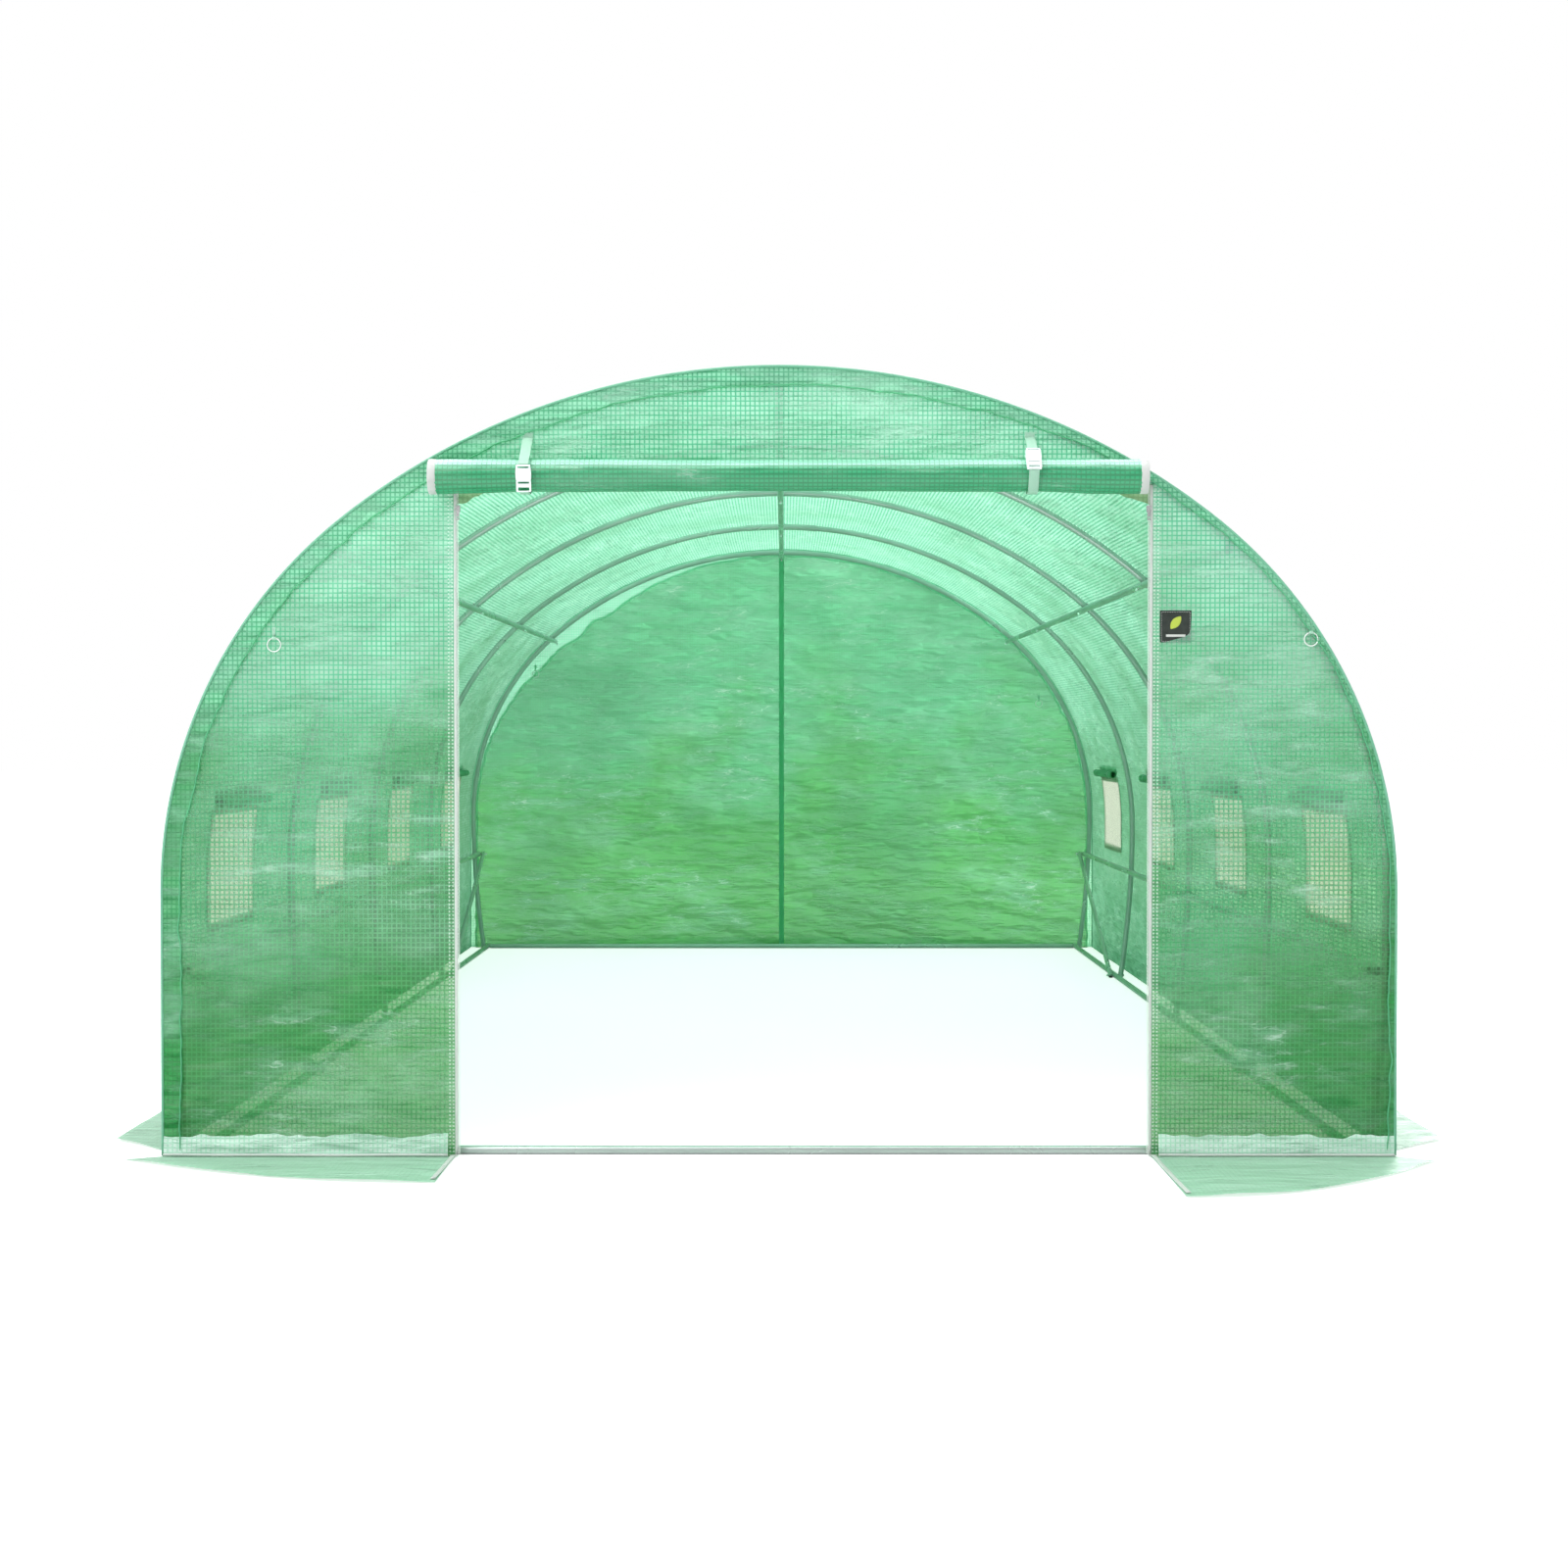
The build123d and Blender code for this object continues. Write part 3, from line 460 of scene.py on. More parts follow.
doorway = ((door_left + door_right) / 2, (door_right - door_left) / 2)
front_cloth = film_cloth(
    "front_cloth", (0.036, 0.25, 0.04), (0.68, 0.98, 0.86), (0.07, 0.34, 0.1), (0.12, 0.58, 0.36),
    clearness=0.66, glow=0.38, open_edge=doorway, see_low=0.3, see_high=0.42, pale_to=1.8, glints=0.5,
    shade=0.4, wrinkle=0.08, highlight_low=0.45, tint_low=(0.78, 0.88, 0.7), tint_high=(0.86, 0.96, 0.88))
cover_cloth = film_cloth(
    "cover_cloth", (0.03, 0.22, 0.09), (0.5, 0.92, 0.74), (0.02, 0.18, 0.07), (0.04, 0.3, 0.18),
    clearness=0.24, glow=0.55, glints=0.22, see_low=0.2, thread_halves=(0.0015, 0.0028), shade=0.2,
    pale_from=0.75, pale_to=2.05)
rear_cloth = film_cloth(
    "rear_cloth", (0.055, 0.44, 0.02), (0.11, 0.52, 0.25), (0.045, 0.36, 0.018), (0.09, 0.44, 0.19),
    clearness=0.08, glow=0.5, pale_from=0.4, pale_to=1.5, wrinkle=0.2, glints=0.5, shade=0.75)
hem_cloth = film_cloth(
    "hem_cloth", (0.03, 0.4, 0.09), (0.4, 0.9, 0.64), (0.02, 0.28, 0.06), (0.09, 0.52, 0.27),
    clearness=0.12, glow=0.26, pale_from=0.3, pale_to=1.8, wrinkle=0.1, glints=0.55)
pale_cloth = film_cloth(
    "pale_cloth", (0.46, 0.84, 0.64), (0.5, 0.92, 0.74), (0.22, 0.6, 0.38), (0.26, 0.7, 0.48),
    clearness=0.2, glow=0.5)
foot_cloth = film_cloth(
    "foot_cloth", (0.78, 0.97, 0.88), (0.78, 0.97, 0.88), (0.46, 0.8, 0.62), (0.46, 0.8, 0.62),
    clearness=0.1, glow=0.12, shade=0.0)
skirt_cloth = film_cloth(
    "skirt_cloth", (0.42, 0.67, 0.52), (0.42, 0.67, 0.52), (0.35, 0.6, 0.45), (0.35, 0.6, 0.45),
    clearness=0.05, glow=0.12, wrinkle=0.04, glints=0.2, shade=0.1)
door_cloth = film_cloth(
    "door_cloth", (0.02, 0.38, 0.16), (0.02, 0.42, 0.18), (0.012, 0.26, 0.09), (0.012, 0.26, 0.1),
    clearness=0.0, glow=0.12, wrinkle=0.03, glints=0.22, coat=0.7, painted_top_light=(0.15, 0.235),
    thread_halves=(0.0012, 0.0024))
curtain_cloth = film_cloth(
    "curtain_cloth", (0.07, 0.38, 0.13), (0.4, 0.88, 0.62), (0.04, 0.3, 0.09), (0.08, 0.46, 0.25),
    clearness=0.4, glow=0.45)
flap_cloth = film_cloth(
    "flap_cloth", (0.16, 0.56, 0.32), (0.24, 0.68, 0.42), (0.11, 0.46, 0.24), (0.16, 0.52, 0.3),
    clearness=0.05, glow=0.45, wrinkle=0.04)
gusset_cloth = film_cloth(
    "gusset_cloth", (0.4, 0.46, 0.24), (0.46, 0.54, 0.32), (0.3, 0.36, 0.18), (0.34, 0.42, 0.23),
    clearness=0.08, glow=0.35, wrinkle=0.03)
screen_net = woven("screen_net", (0.74, 0.74, 0.62), (0.56, 0.58, 0.44), 0.0022, clearness=0.75, glow=0.5,
                   seen=(0.74, 0.78, 0.66))
zip_tape = woven("zip_tape", (0.95, 0.97, 0.95), (0.82, 0.87, 0.84), 0.0015, glow=0.3)
zip_coil = hard("zip_coil", (0.93, 0.95, 0.93), (0.84, 0.88, 0.85), 0.35)
webbing = woven("webbing", (0.66, 0.93, 0.79), (0.42, 0.76, 0.58), 0.0022, glow=0.35)
binding = woven("binding", (0.3, 0.72, 0.5), (0.18, 0.54, 0.35), 0.002, glow=0.25)
seam_tape = woven("seam_tape", (0.26, 0.76, 0.48), (0.16, 0.6, 0.34), 0.0025, glow=0.5)
label_cloth = woven("label_cloth", (0.035, 0.05, 0.04), (0.015, 0.02, 0.018), 0.0012, glow=0.0)
leaf_thread = woven("leaf_thread", (0.66, 0.8, 0.1), (0.45, 0.6, 0.06), 0.0012, glow=0.0, roughness=0.4)
pale_thread = woven("pale_thread", (0.85, 0.88, 0.84), (0.6, 0.64, 0.6), 0.0012, glow=0.0, roughness=0.45)
steel_tube = hard("steel_tube", (0.5, 0.56, 0.54), (0.42, 0.48, 0.46), 0.32, metallic=0.6, grain=6.0,
                  relief=0.0)
bolt_steel = hard("bolt_steel", (0.86, 0.87, 0.87), (0.6, 0.62, 0.62), 0.24, metallic=0.9, grain=200.0)
slider_metal = hard("slider_metal", (0.78, 0.8, 0.8), (0.52, 0.54, 0.54), 0.25, metallic=0.9, grain=300.0)
buckle_plastic = hard("buckle_plastic", (0.92, 0.96, 0.97), (0.84, 0.9, 0.92), 0.32, grain=120.0)
ring_metal = hard("ring_metal", (0.86, 0.9, 0.88), (0.62, 0.66, 0.64), 0.3, metallic=0.35, grain=300.0)

# ---- cover along the tunnel

screens_low, screens_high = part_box("window_screens")
window_half = screens_high[1] - bay_ys[-1]
low_run = run_at_height(screens_low[2])
high_run = run_at_height(screens_high[2])
whole_run = 2 * half_run
cover_end = wall_y + 0.0015


def cover_sink(run, y):
    """How far the cover lies outside (+) or inside (-) its taut place."""
    climbed = half_run - np.abs(run - half_run)
    bay = (y - hoop_ys[0]) / (hoop_ys[1] - hoop_ys[0])
    between = np.clip(np.sin(math.pi * bay) ** 2, 0, 1) * (np.abs(y) < hoop_ys[-1])
    up_high = smooth(climbed, 0.7, 1.7)
    sag = -0.01 * between * (0.25 + 0.75 * up_high)
    at_window = smooth(climbed, 0.25, 0.45) * (1 - smooth(climbed, 0.85, 1.05))
    near_end = smooth(np.abs(y), 2.9, 3.01)
    folds = crumple(run, y, 0.2, 3.1) * 0.0035 * (0.2 + 0.8 * between) * (1 - 0.8 * at_window)
    puckers = 0.0025 * waves(run, y, 0.045, 0.4, 9.4) * near_end
    return sag * (1 - near_end) + folds * (1 - near_end) + puckers


cover_runs = steps(0, low_run, high_run, half_run, whole_run - high_run, whole_run - low_run, whole_run,
                   size=0.022)
y_stops = [-cover_end]
for y in bay_ys:
    y_stops += [y - window_half, y + window_half]
cover_ys = steps(*y_stops, cover_end, size=0.025)
run_grid, y_grid = np.meshgrid(cover_runs, cover_ys)
arch_x, arch_z, normal_x, normal_z = arch(run_grid, cloth_middle)
sink = cover_sink(run_grid, y_grid)
run_middle = (run_grid[:-1, :-1] + run_grid[1:, 1:]) / 2
y_middle = (y_grid[:-1, :-1] + y_grid[1:, 1:]) / 2
climb_middle = half_run - np.abs(run_middle - half_run)
in_window = (climb_middle > low_run) & (climb_middle < high_run)
in_bay = np.any([np.abs(y_middle - y) < window_half for y in bay_ys], axis=0)
cover = sheet_of(
    "cover", arch_x + sink * normal_x, y_grid, arch_z + sink * normal_z, y_grid, run_grid,
    [cover_cloth], "cover_cloth", keep=~(in_window & in_bay))
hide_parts("cover_left", "cover_roof", "cover_right")
binding_half = 0.012  # of the binding sewn round a window

# Net screens, their bindings, and the flaps rolled up inside
for side, name in SIDES:
    for number, bay_y in enumerate(bay_ys, start=1):
        runs = np.linspace(low_run - binding_half, high_run + binding_half, 26)
        screen_half = window_half + binding_half
        ys = np.linspace(bay_y - screen_half, bay_y + screen_half, 44)
        r, y = np.meshgrid(runs, ys)
        a, b = (r - low_run) / (high_run - low_run), (y - bay_y) / window_half
        inside = np.clip(4 * a * (1 - a), 0, 1) * np.clip(1 - b * b, 0, 1)
        belly = -0.0025 - inside * (0.004 + 0.003 * waves(r, y, 0.12, 0.2, number + 5 * side))
        x, z, nx, nz = arch(r, cloth_middle)
        screen = sheet_of(f"screen_{name}_{number}", side * -1 * (x + belly * nx), y, z + belly * nz, r, y,
                          [screen_net], "screen_mesh")
        if side < 0 and number == 1:
            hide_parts("window_screens")

        corners = [(low_run, -1), (low_run, 1), (high_run, 1), (high_run, -1), (low_run, -1)]
        strips = []
        for (run_0, end_0), (run_1, end_1) in zip(corners, corners[1:]):
            ys = np.linspace(bay_y + end_0 * window_half, bay_y + end_1 * window_half, 24)
            x, z, nx, nz = arch(np.linspace(run_0, run_1, 24), 0.0012)
            wide = (0, 1, 0) if end_0 == end_1 else places(side * nz, 0, -nx)
            strips.append(band_mesh(places(-side * x, ys, z), wide, 2 * binding_half, 0.0016, around=8))
        publish(f"window_trim_{name}_{number}", *joined(strips), [binding], "flap_cloth")

flap_radius = half("window_flap_left_1", 0)
flap_axis_z = middle("window_flap_left_1", 2)
flap_drop = 0.33
flap_seam = 0.034  # from the flap's seam on the cover down to its roll's axis
flap_turns = 5.1
tie_out = 0.2  # of a tie, from the middle of its flap


def spiral(outer, inner, turns, count):
    """Distance from the axis, angle and length of a rolled-up cloth, from its outer end inwards."""
    share = np.linspace(0, 1, count)
    radii = between(outer, inner, share)
    angles = 2 * math.pi * turns * share
    return radii, angles, np.append(0, np.cumsum(np.diff(angles) * radii[1:]))


def drop_rows(count):
    even = np.linspace(0, 1, count)
    fine = np.linspace(0, 1, 2001)
    return np.interp(even, fine * fine * (3 - 2 * fine), fine)


for side, name in SIDES:
    for number, bay_y in enumerate(bay_ys, start=1):
        flap = f"window_flap_{name}_{number}"
        low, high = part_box(flap)
        axis_x = middle(flap, 0)
        body = flap + "_roll"
        radii, angles, run = spiral(flap_radius - 0.0006, 0.004, flap_turns, 160)
        ys = steps(low[1], high[1], size=0.012)
        radius, y = np.meshgrid(radii, ys)
        angle = np.meshgrid(angles, ys)[0]
        dent = 0.0014 * waves(y, angle, 0.1, 1.4, number + 3 * side)
        tied = -0.003 * sum(bell(y - bay_y - e * tie_out, 0.014) for e in (-1, 1))
        squeezed = radius * (1 + (dent + tied) / flap_radius - 0.02)
        roll = sheet_of(f"flap_roll_{name}_{number}", axis_x + side * squeezed * np.cos(angle), y,
                        flap_axis_z - squeezed * np.sin(angle), y, run, [flap_cloth], "flap_cloth", body)
        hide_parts(flap)

        rows = drop_rows(40)
        t, y = np.meshgrid(rows, steps(low[1] + 0.004, high[1] - 0.004, size=0.02), indexing="ij")
        ripple = 0.0006 * waves(y, 0, 0.09, 1, number)
        x = axis_x + side * (flap_radius + 0.0006 - 0.0008 * smooth(t, 0, 1) + ripple)
        z = flap_axis_z + flap_seam * (1 - t)
        flat_v = (flap_drop + flap_seam) * np.linspace(0, 1, 40)[:, None]
        hanging = sheet_of(f"flap_hanging_{name}_{number}", x, y, z, y, flat_v, [flap_cloth],
                           "flap_cloth", None)
        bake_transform(hanging)

        ties = []
        for e in (-1, 1):
            turn = np.radians(np.linspace(-170, 170, 28))
            tie_radius = flap_radius - 0.0008
            ring = places(axis_x - side * tie_radius * np.cos(turn), bay_y + e * tie_out,
                          flap_axis_z + tie_radius * np.sin(turn))
            ties.append(band_mesh(ring, (0, 1, 0), 0.01, 0.0009, around=8))
        tie = publish(f"flap_ties_{name}_{number}", *joined(ties), [webbing], "webbing", body)
        for piece in (roll, tie):
            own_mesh(piece)

# ---- front wall

corner_run = run_at_height(header_bottom)
corner_half = -float(arch(corner_run)[0])


def door_edge(run):
    """Point of the doorway's outline that faces a point of the arch."""
    x, z, _, _ = arch(run)
    share = (x + corner_half) / (2 * corner_half)
    over_door = between(door_left, door_right, share)
    beside = np.where(x < 0, door_left, door_right)
    return np.where(z < header_bottom - 1e-9, beside, over_door), np.minimum(z, header_bottom)


front_runs = steps(0, corner_run, whole_run - corner_run, whole_run, size=0.011)
ins = np.linspace(0, 1, 58)
run_grid, in_grid = np.meshgrid(front_runs, ins)
outer_x, outer_z, _, _ = arch(run_grid, -0.0006)
inner_x, inner_z = door_edge(run_grid)
wall_x = between(outer_x, inner_x, in_grid)
wall_z = between(outer_z, inner_z, in_grid)
from_arch = np.hypot(inner_x - outer_x, inner_z - outer_z) * in_grid
from_door = np.hypot(inner_x - outer_x, inner_z - outer_z) * (1 - in_grid)
free = smooth(from_arch, 0.0, 0.12) * (0.35 + 0.65 * smooth(from_door, 0.0, 0.1))
at_arch = smooth(from_arch, 0, 0.03) * (1 - smooth(from_arch, 0.08, 0.22))
gathers = 0.0022 * waves(run_grid, from_arch, 0.03, 0.16, 4.2) * at_arch
tension = 0.006 * crumple(wall_x, wall_z, 0.26, 1.7) * free
belly = 0.01 * free * smooth(wall_z, 0.0, 0.3) * waves(wall_x, wall_z, 0.5, 0.9, 2.9)
wall_depth = -(wall_y + 0.001) - np.maximum(gathers + tension + belly, -0.0015)
front_wall = sheet_of("front_wall", wall_x, wall_depth, wall_z, wall_x, wall_z, [front_cloth], "cover_cloth")
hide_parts("front_panel_left", "front_panel_right", "front_header")


def hem_reach(run, width, wobble, seed):
    """Width of a hem along the arch, with a wavy inner edge."""
    slow = 0.6 * waves(run, 0, 0.17, 1, seed)
    quick = 0.4 * waves(run, 0, 0.045, 1, seed + 3)
    return width + wobble * (slow + quick)


def hem_strip(name, reach, y, material, pucker, seed):
    """Band of cloth along the arch, with a puckered inner edge."""
    run, s = np.meshgrid(hem_runs, np.linspace(0, 1, 12))
    x, z, _, _ = arch(run, -0.0008 - reach(run) * s)
    z = np.maximum(z, 0.003)
    lift = pucker * s * (0.5 + 0.5 * waves(run, s, 0.026, 2.0, seed)) + 0.0006
    return sheet_of(name, x, y - lift, z, x, z, [material], "cover_cloth")


def front_reach(run):
    """The front hem is widest on the left."""
    return hem_reach(run, 0.05 - 0.032 * smooth(run, half_run, half_run + 1.2), 0.013, 11.0)


def rear_reach(run):
    """The rear hem hangs deepest at the upper left."""
    sag = 0.06 * bell(run - 1.75, 0.55) * (1 + 0.35 * waves(run, 0, 0.12, 1, 29.0))
    return hem_reach(run, 0.036, 0.016, 23.0) + sag


hem_runs = steps(0, whole_run, size=0.009)
front_hem = hem_strip("front_hem", front_reach, -(face_y + 0.0004), hem_cloth, 0.0042, 16.0)
rear_hem = hem_strip("rear_hem", rear_reach, wall_y + 0.0006, pale_cloth, 0.006, 28.0)

edge_x, edge_z, _, _ = arch(hem_runs, -0.0008 - front_reach(hem_runs) * 0.93)
path = places(edge_x, -(face_y + 0.0052), np.maximum(edge_z, 0.003))
band("front_hem_stitch", path, (0, 1, 0), 0.0022, 0.0035, seam_tape, "cover_cloth", squareness=2, around=6)

# Piping sewn into the seams between the cover and the end walls
piping = 0.0035
x, z, _, _ = arch(steps(0, whole_run, size=0.02), -piping * 0.4)
for name, y in (("front_piping", -(face_y + 0.001)), ("rear_piping", face_y + 0.001)):
    path = places(x, y, np.maximum(z, piping))
    band(name, path, (0, 1, 0), 2 * piping, 2 * piping, binding, "cover_cloth", squareness=2, around=10)


def foot_hem(name, low, high, seed):
    """Pale turned-up hem at the foot of a front panel, with a wavy top edge, and its bead."""
    x, s = np.meshgrid(steps(low, high, size=0.008), np.linspace(0, 1, 10))
    top = 0.052 + 0.013 * waves(x, 0, 0.11, 1, seed) + 0.006 * waves(x, 0, 0.03, 1, seed + 2)
    z = 0.002 + top * s
    y = -(face_y + 0.0032) - 0.004 * (1 - s) - 0.0022 * s * waves(x, s, 0.04, 3, seed + 4)
    hem = sheet_of(name, x, y, z, x, z, [foot_cloth], "skirt_cloth")
    bead_x = steps(low, high, size=0.015)
    bead_z = 0.0045 + 0.0016 * (1 + waves(bead_x, 0, 0.2, 1, seed + 6))
    path = places(bead_x, -(face_y + 0.0085), bead_z)
    bead = band(name + "_bead", path, (0, 1, 0), 0.008, 0.006, zip_tape, "zip_tape", squareness=2, around=10)
    return hem, bead


foot_hems = [foot_hem("foot_hem_left", -half_width + 0.004, door_left - 0.018, 31.0),
             foot_hem("foot_hem_right", door_right + 0.018, half_width - 0.004, 37.0)]

# ---- rear wall

side_run = 1.62  # up the arch to the corners of the wall's grid
columns = 130
bottom = np.linspace(0, 1, columns)
rows = np.linspace(0, 1, 96)
a, b = np.meshgrid(bottom, rows)


def edge_point(run):
    """Point on the rear wall's outline, just under the hem's inner edge."""
    x, z, _, _ = arch(run, 0.01 - rear_reach(run))
    return np.stack([x, z], -1)


feet = edge_point(np.array([0.0, whole_run]))
low_edge = between(feet[0], feet[1], bottom[:, None])
top_edge = edge_point(side_run + (whole_run - 2 * side_run) * bottom)
left_edge = edge_point(side_run * rows)
right_edge = edge_point(whole_run - side_run * rows)
across, up = a[..., None], b[..., None]
ruled = ((1 - up) * low_edge[None] + up * top_edge[None]
         + (1 - across) * left_edge[:, None] + across * right_edge[:, None])
pinned = ((1 - across) * (1 - up) * low_edge[0] + across * (1 - up) * low_edge[-1]
          + (1 - across) * up * top_edge[0] + across * up * top_edge[-1])
rear_x, rear_z = np.moveaxis(ruled - pinned, -1, 0)
inset = np.minimum(np.minimum(a, 1 - a) * 2 * half_width, (1 - b) * 1.9)
rear_free = smooth(inset, 0, 0.25) * smooth(rear_z, 0.0, 0.08)
at_seam = bell(rear_x, 0.1)
near_seam = bell(rear_x, 0.45)
swags = 0.018 * waves(rear_x, rear_z, 1.1, 0.26, 5.5) + 0.014 * crumple(rear_x, rear_z, 0.34, 8.8)
seam_pull = 0.01 * creases(rear_x, rear_z + 0.25 * np.abs(rear_x), 0.8, 0.11, 6.6) * near_seam
slack = np.maximum(swags * (1 - 0.6 * at_seam) + seam_pull, -0.016)
rear_depth = wall_y + 0.001 + slack * rear_free
rear_wall = sheet_of("rear_wall", rear_x, rear_depth, rear_z, rear_x, rear_z, [rear_cloth], "cover_cloth")
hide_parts("rear_panel_left", "rear_panel_right")

seam_z = steps(0.004, cover_height - 0.004, size=0.012)
seam_y = np.interp(seam_z, rear_z[:, columns // 2], rear_depth[:, columns // 2])
rear_seam = band("rear_seam", places(0, seam_y - 0.0014, seam_z), (1, 0, 0), 0.024, 0.0014, seam_tape,
                 "cover_cloth", around=8)

# ---- ground skirts

flap_tip = 1.61  # outer end of the flaps beyond the end walls, from the middle


def ground_sheet(name, x, y, seed, hold, calm=1.0):
    """Cloth lying on the ground, held down at one edge and slightly ruffled elsewhere."""
    loose = smooth(hold, 0, 0.1) * calm
    ruffle = 0.5 + 0.5 * waves(x, y, 0.16, 0.22, seed)
    fine = 0.5 + 0.5 * crumple(x, y, 0.1, seed + 3)
    z = 0.0016 + loose * (0.007 * ruffle + 0.003 * fine)
    return sheet_of(name, x, y, z, x, y, [skirt_cloth], "skirt_cloth")


def end_flap(name, inner_x, side, end, depth):
    """Flap on the ground beyond an end wall: deepest at its inner edge, with a rounded outer edge."""
    s, t = np.meshgrid(np.linspace(0, 1, 70) ** 0.92, np.linspace(0, 1, 26))
    x = inner_x + (side * flap_tip - inner_x) * s
    past = np.clip((np.abs(x) - half_width) / (flap_tip - half_width), 0, 1)
    bend, at_bend, late = 0.55, 0.76, 0.12
    lean = (at_bend - 1) / bend
    curve = 1 + s * (lean + (s - bend) * (late - 1 - lean) / (1 - bend))
    far = depth * np.maximum(curve, late)
    near = depth * late * past
    y = end * (face_y + near + (far - near) * t)
    calm = 0.3 + 0.7 * smooth(np.abs(x - inner_x), 0.0, 0.12)
    flap = ground_sheet(name, x, y, depth * 10 + side, (far - near) * t, calm)
    return flap, float(np.abs((far - near)[0, :-1] * np.diff(x[0])).sum())


left_depth = 0.36
right_depth = 0.54
skirts = {
    "flap_front_left": (door_left, -1, -1, left_depth),
    "flap_front_right": (door_right, 1, -1, right_depth),
    "flap_rear_left": (-0.001, -1, 1, right_depth),
    "flap_rear_right": (0.001, 1, 1, right_depth),
}
for name, (inner, side, end, depth) in skirts.items():
    flap, area = end_flap(name, inner, side, end, depth)
    if name == "flap_front_left":
        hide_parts("ground_skirts")

skirt_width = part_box("ground_skirts")[1][0] - half_width
end_y = 2.955  # where the side skirts end
for side, name in SIDES:
    s, t = np.meshgrid(np.linspace(0, 1, 14), steps(-1.0, 1.0, size=0.012))
    y = t * (end_y - skirt_width * s)
    x = side * (half_width + skirt_width * s)
    skirt = ground_sheet(f"skirt_{name}", x, y, 40.0 + side, skirt_width * s)

# ---- door, rolled up

roll_low, roll_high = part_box("door_roll")
roll_radius = half("door_roll", 2)
roll_z = middle("door_roll", 2)
roll_y = middle("door_roll", 1)
sheet_low, sheet_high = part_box("door_sheet")
tape_band = 0.02
strap_xs = [middle(f"strap_front_{name}", 0) for _, name in SIDES]
door_turns = 9.4


def roll_surface(x_values, radii, angles):
    """Places on the rolled door: wound down the back, under, up the front and over."""
    radius, x = np.meshgrid(radii, x_values)
    angle = np.meshgrid(angles, x_values)[0]
    streak = 0.0013 * creases(x, angle, 0.42, 0.3, 50.0) + 0.0006 * waves(x, angle, 0.07, 0.5, 52.0)
    pinch = sum(bell(x - strap_x, 0.022) for strap_x in strap_xs)
    pleats = sum(bell(x - strap_x, 0.07) for strap_x in strap_xs)
    shape = radius * (1 - (0.0014 + 0.0016 * pinch) / roll_radius)
    fine_pleats = 0.0008 * pleats * waves(x, angle, 0.02, 2.0, 54.0)
    shape = shape + (streak * (1 - 0.6 * pinch) + fine_pleats) * radius / roll_radius
    inside = np.abs(x - sum(strap_xs) / 2) / ((strap_xs[1] - strap_xs[0]) / 2)
    swell = 0.05 * smooth(inside, 1.03, 1.3) - 0.06 * (1 - smooth(inside, 0.35, 0.93))
    shape = shape * (1 + swell)
    ahead = roll_radius * np.maximum(swell, 0)
    droop = 0.003 * smooth(inside, 1.03, 1.35)
    return x, roll_y - ahead + shape * np.cos(angle), roll_z - droop - shape * np.sin(angle)


radii, angles, door_run = spiral(roll_radius - 0.0014, 0.012, door_turns, 420)
roll_xs = steps(roll_low[0] + tape_band - 0.002, roll_high[0] - tape_band + 0.002, size=0.014)
x, y, z = roll_surface(roll_xs, radii, angles)
roll = sheet_of("door_roll_cloth", x, y, z, x, door_run, [door_cloth], "door_cloth", "door")
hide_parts("door_roll")

edge_tapes = []
tape_angle = np.linspace(angles[0], angles[-1], 300)
tape_radius = np.interp(tape_angle, angles, radii) - 0.0002
for end_x, name in ((roll_low[0] + tape_band / 2, "left"), (roll_high[0] - tape_band / 2, "right")):
    _, tape_y, tape_z = roll_surface(np.array([end_x]), tape_radius, tape_angle)
    path = places(end_x, tape_y[0], tape_z[0])
    edge_tapes.append(band(f"door_end_tape_{name}", path, (1, 0, 0), tape_band, 0.0017, zip_tape, "zip_tape",
                           "door", around=8))
for piece in (roll, *edge_tapes):
    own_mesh(piece)

door_rest = 0.061  # height of the roll's axis once the door is down
rows = drop_rows(150)
left_tape_end, right_tape_start = sheet_low[0] + tape_band, sheet_high[0] - tape_band
curtain_xs = steps(sheet_low[0], left_tape_end, right_tape_start, sheet_high[0], size=0.018)
t, x = np.meshgrid(rows, curtain_xs, indexing="ij")
behind_plug = 0.0035 * bell(x - strap_xs[0], 0.05)
curtain_y = (middle("door_sheet", 1) + behind_plug + 0.0009 * waves(x, 0, 0.16, 1, 61.0)
             + 0.0005 * waves(x, t, 0.05, 0.9, 62.0))
z = sheet_high[2] - (sheet_high[2] - sheet_low[2]) * t
flat_v = (roll_z - door_rest) * np.linspace(0, 1, 150)[:, None]
x_middle = (x[:-1, :-1] + x[1:, 1:]) / 2
on_tape = (x_middle < left_tape_end) | (x_middle > right_tape_start)
curtain = sheet_of("door_curtain", x, curtain_y, z, x, flat_v, [curtain_cloth, zip_tape], "door_cloth", None,
                   index=on_tape.astype(int))
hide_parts("door_sheet")
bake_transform(curtain)

# The door's seam allowance on the header, and the gussets in the doorway's top corners
allowance = places(steps(sheet_low[0], sheet_high[0], size=0.03), -(face_y + 0.0065), sheet_high[2] + 0.004)
band("door_seam", allowance, (0, 1, 0), 0.0125, 0.012, curtain_cloth, "door_cloth", squareness=4, around=10)


def gusset(name, corner_x, side, width, depth, seed):
    """Small slack piece of cloth that hangs in a top corner of the doorway."""
    s, t = np.meshgrid(np.linspace(0, 1, 20), np.linspace(0, 1, 12))
    x = corner_x + side * width * s
    length = depth * (1 - s) ** 0.8 * (1 + 0.25 * waves(s, 0, 0.2, 1, seed)) + 0.004
    z = header_bottom + 0.006 - (length + 0.006) * t
    y = -(wall_y - 0.006) + 0.01 * t * waves(s, t, 0.3, 0.9, seed + 1)
    return sheet_of(name, x, y, z, x, z, [gusset_cloth], "cover_cloth")


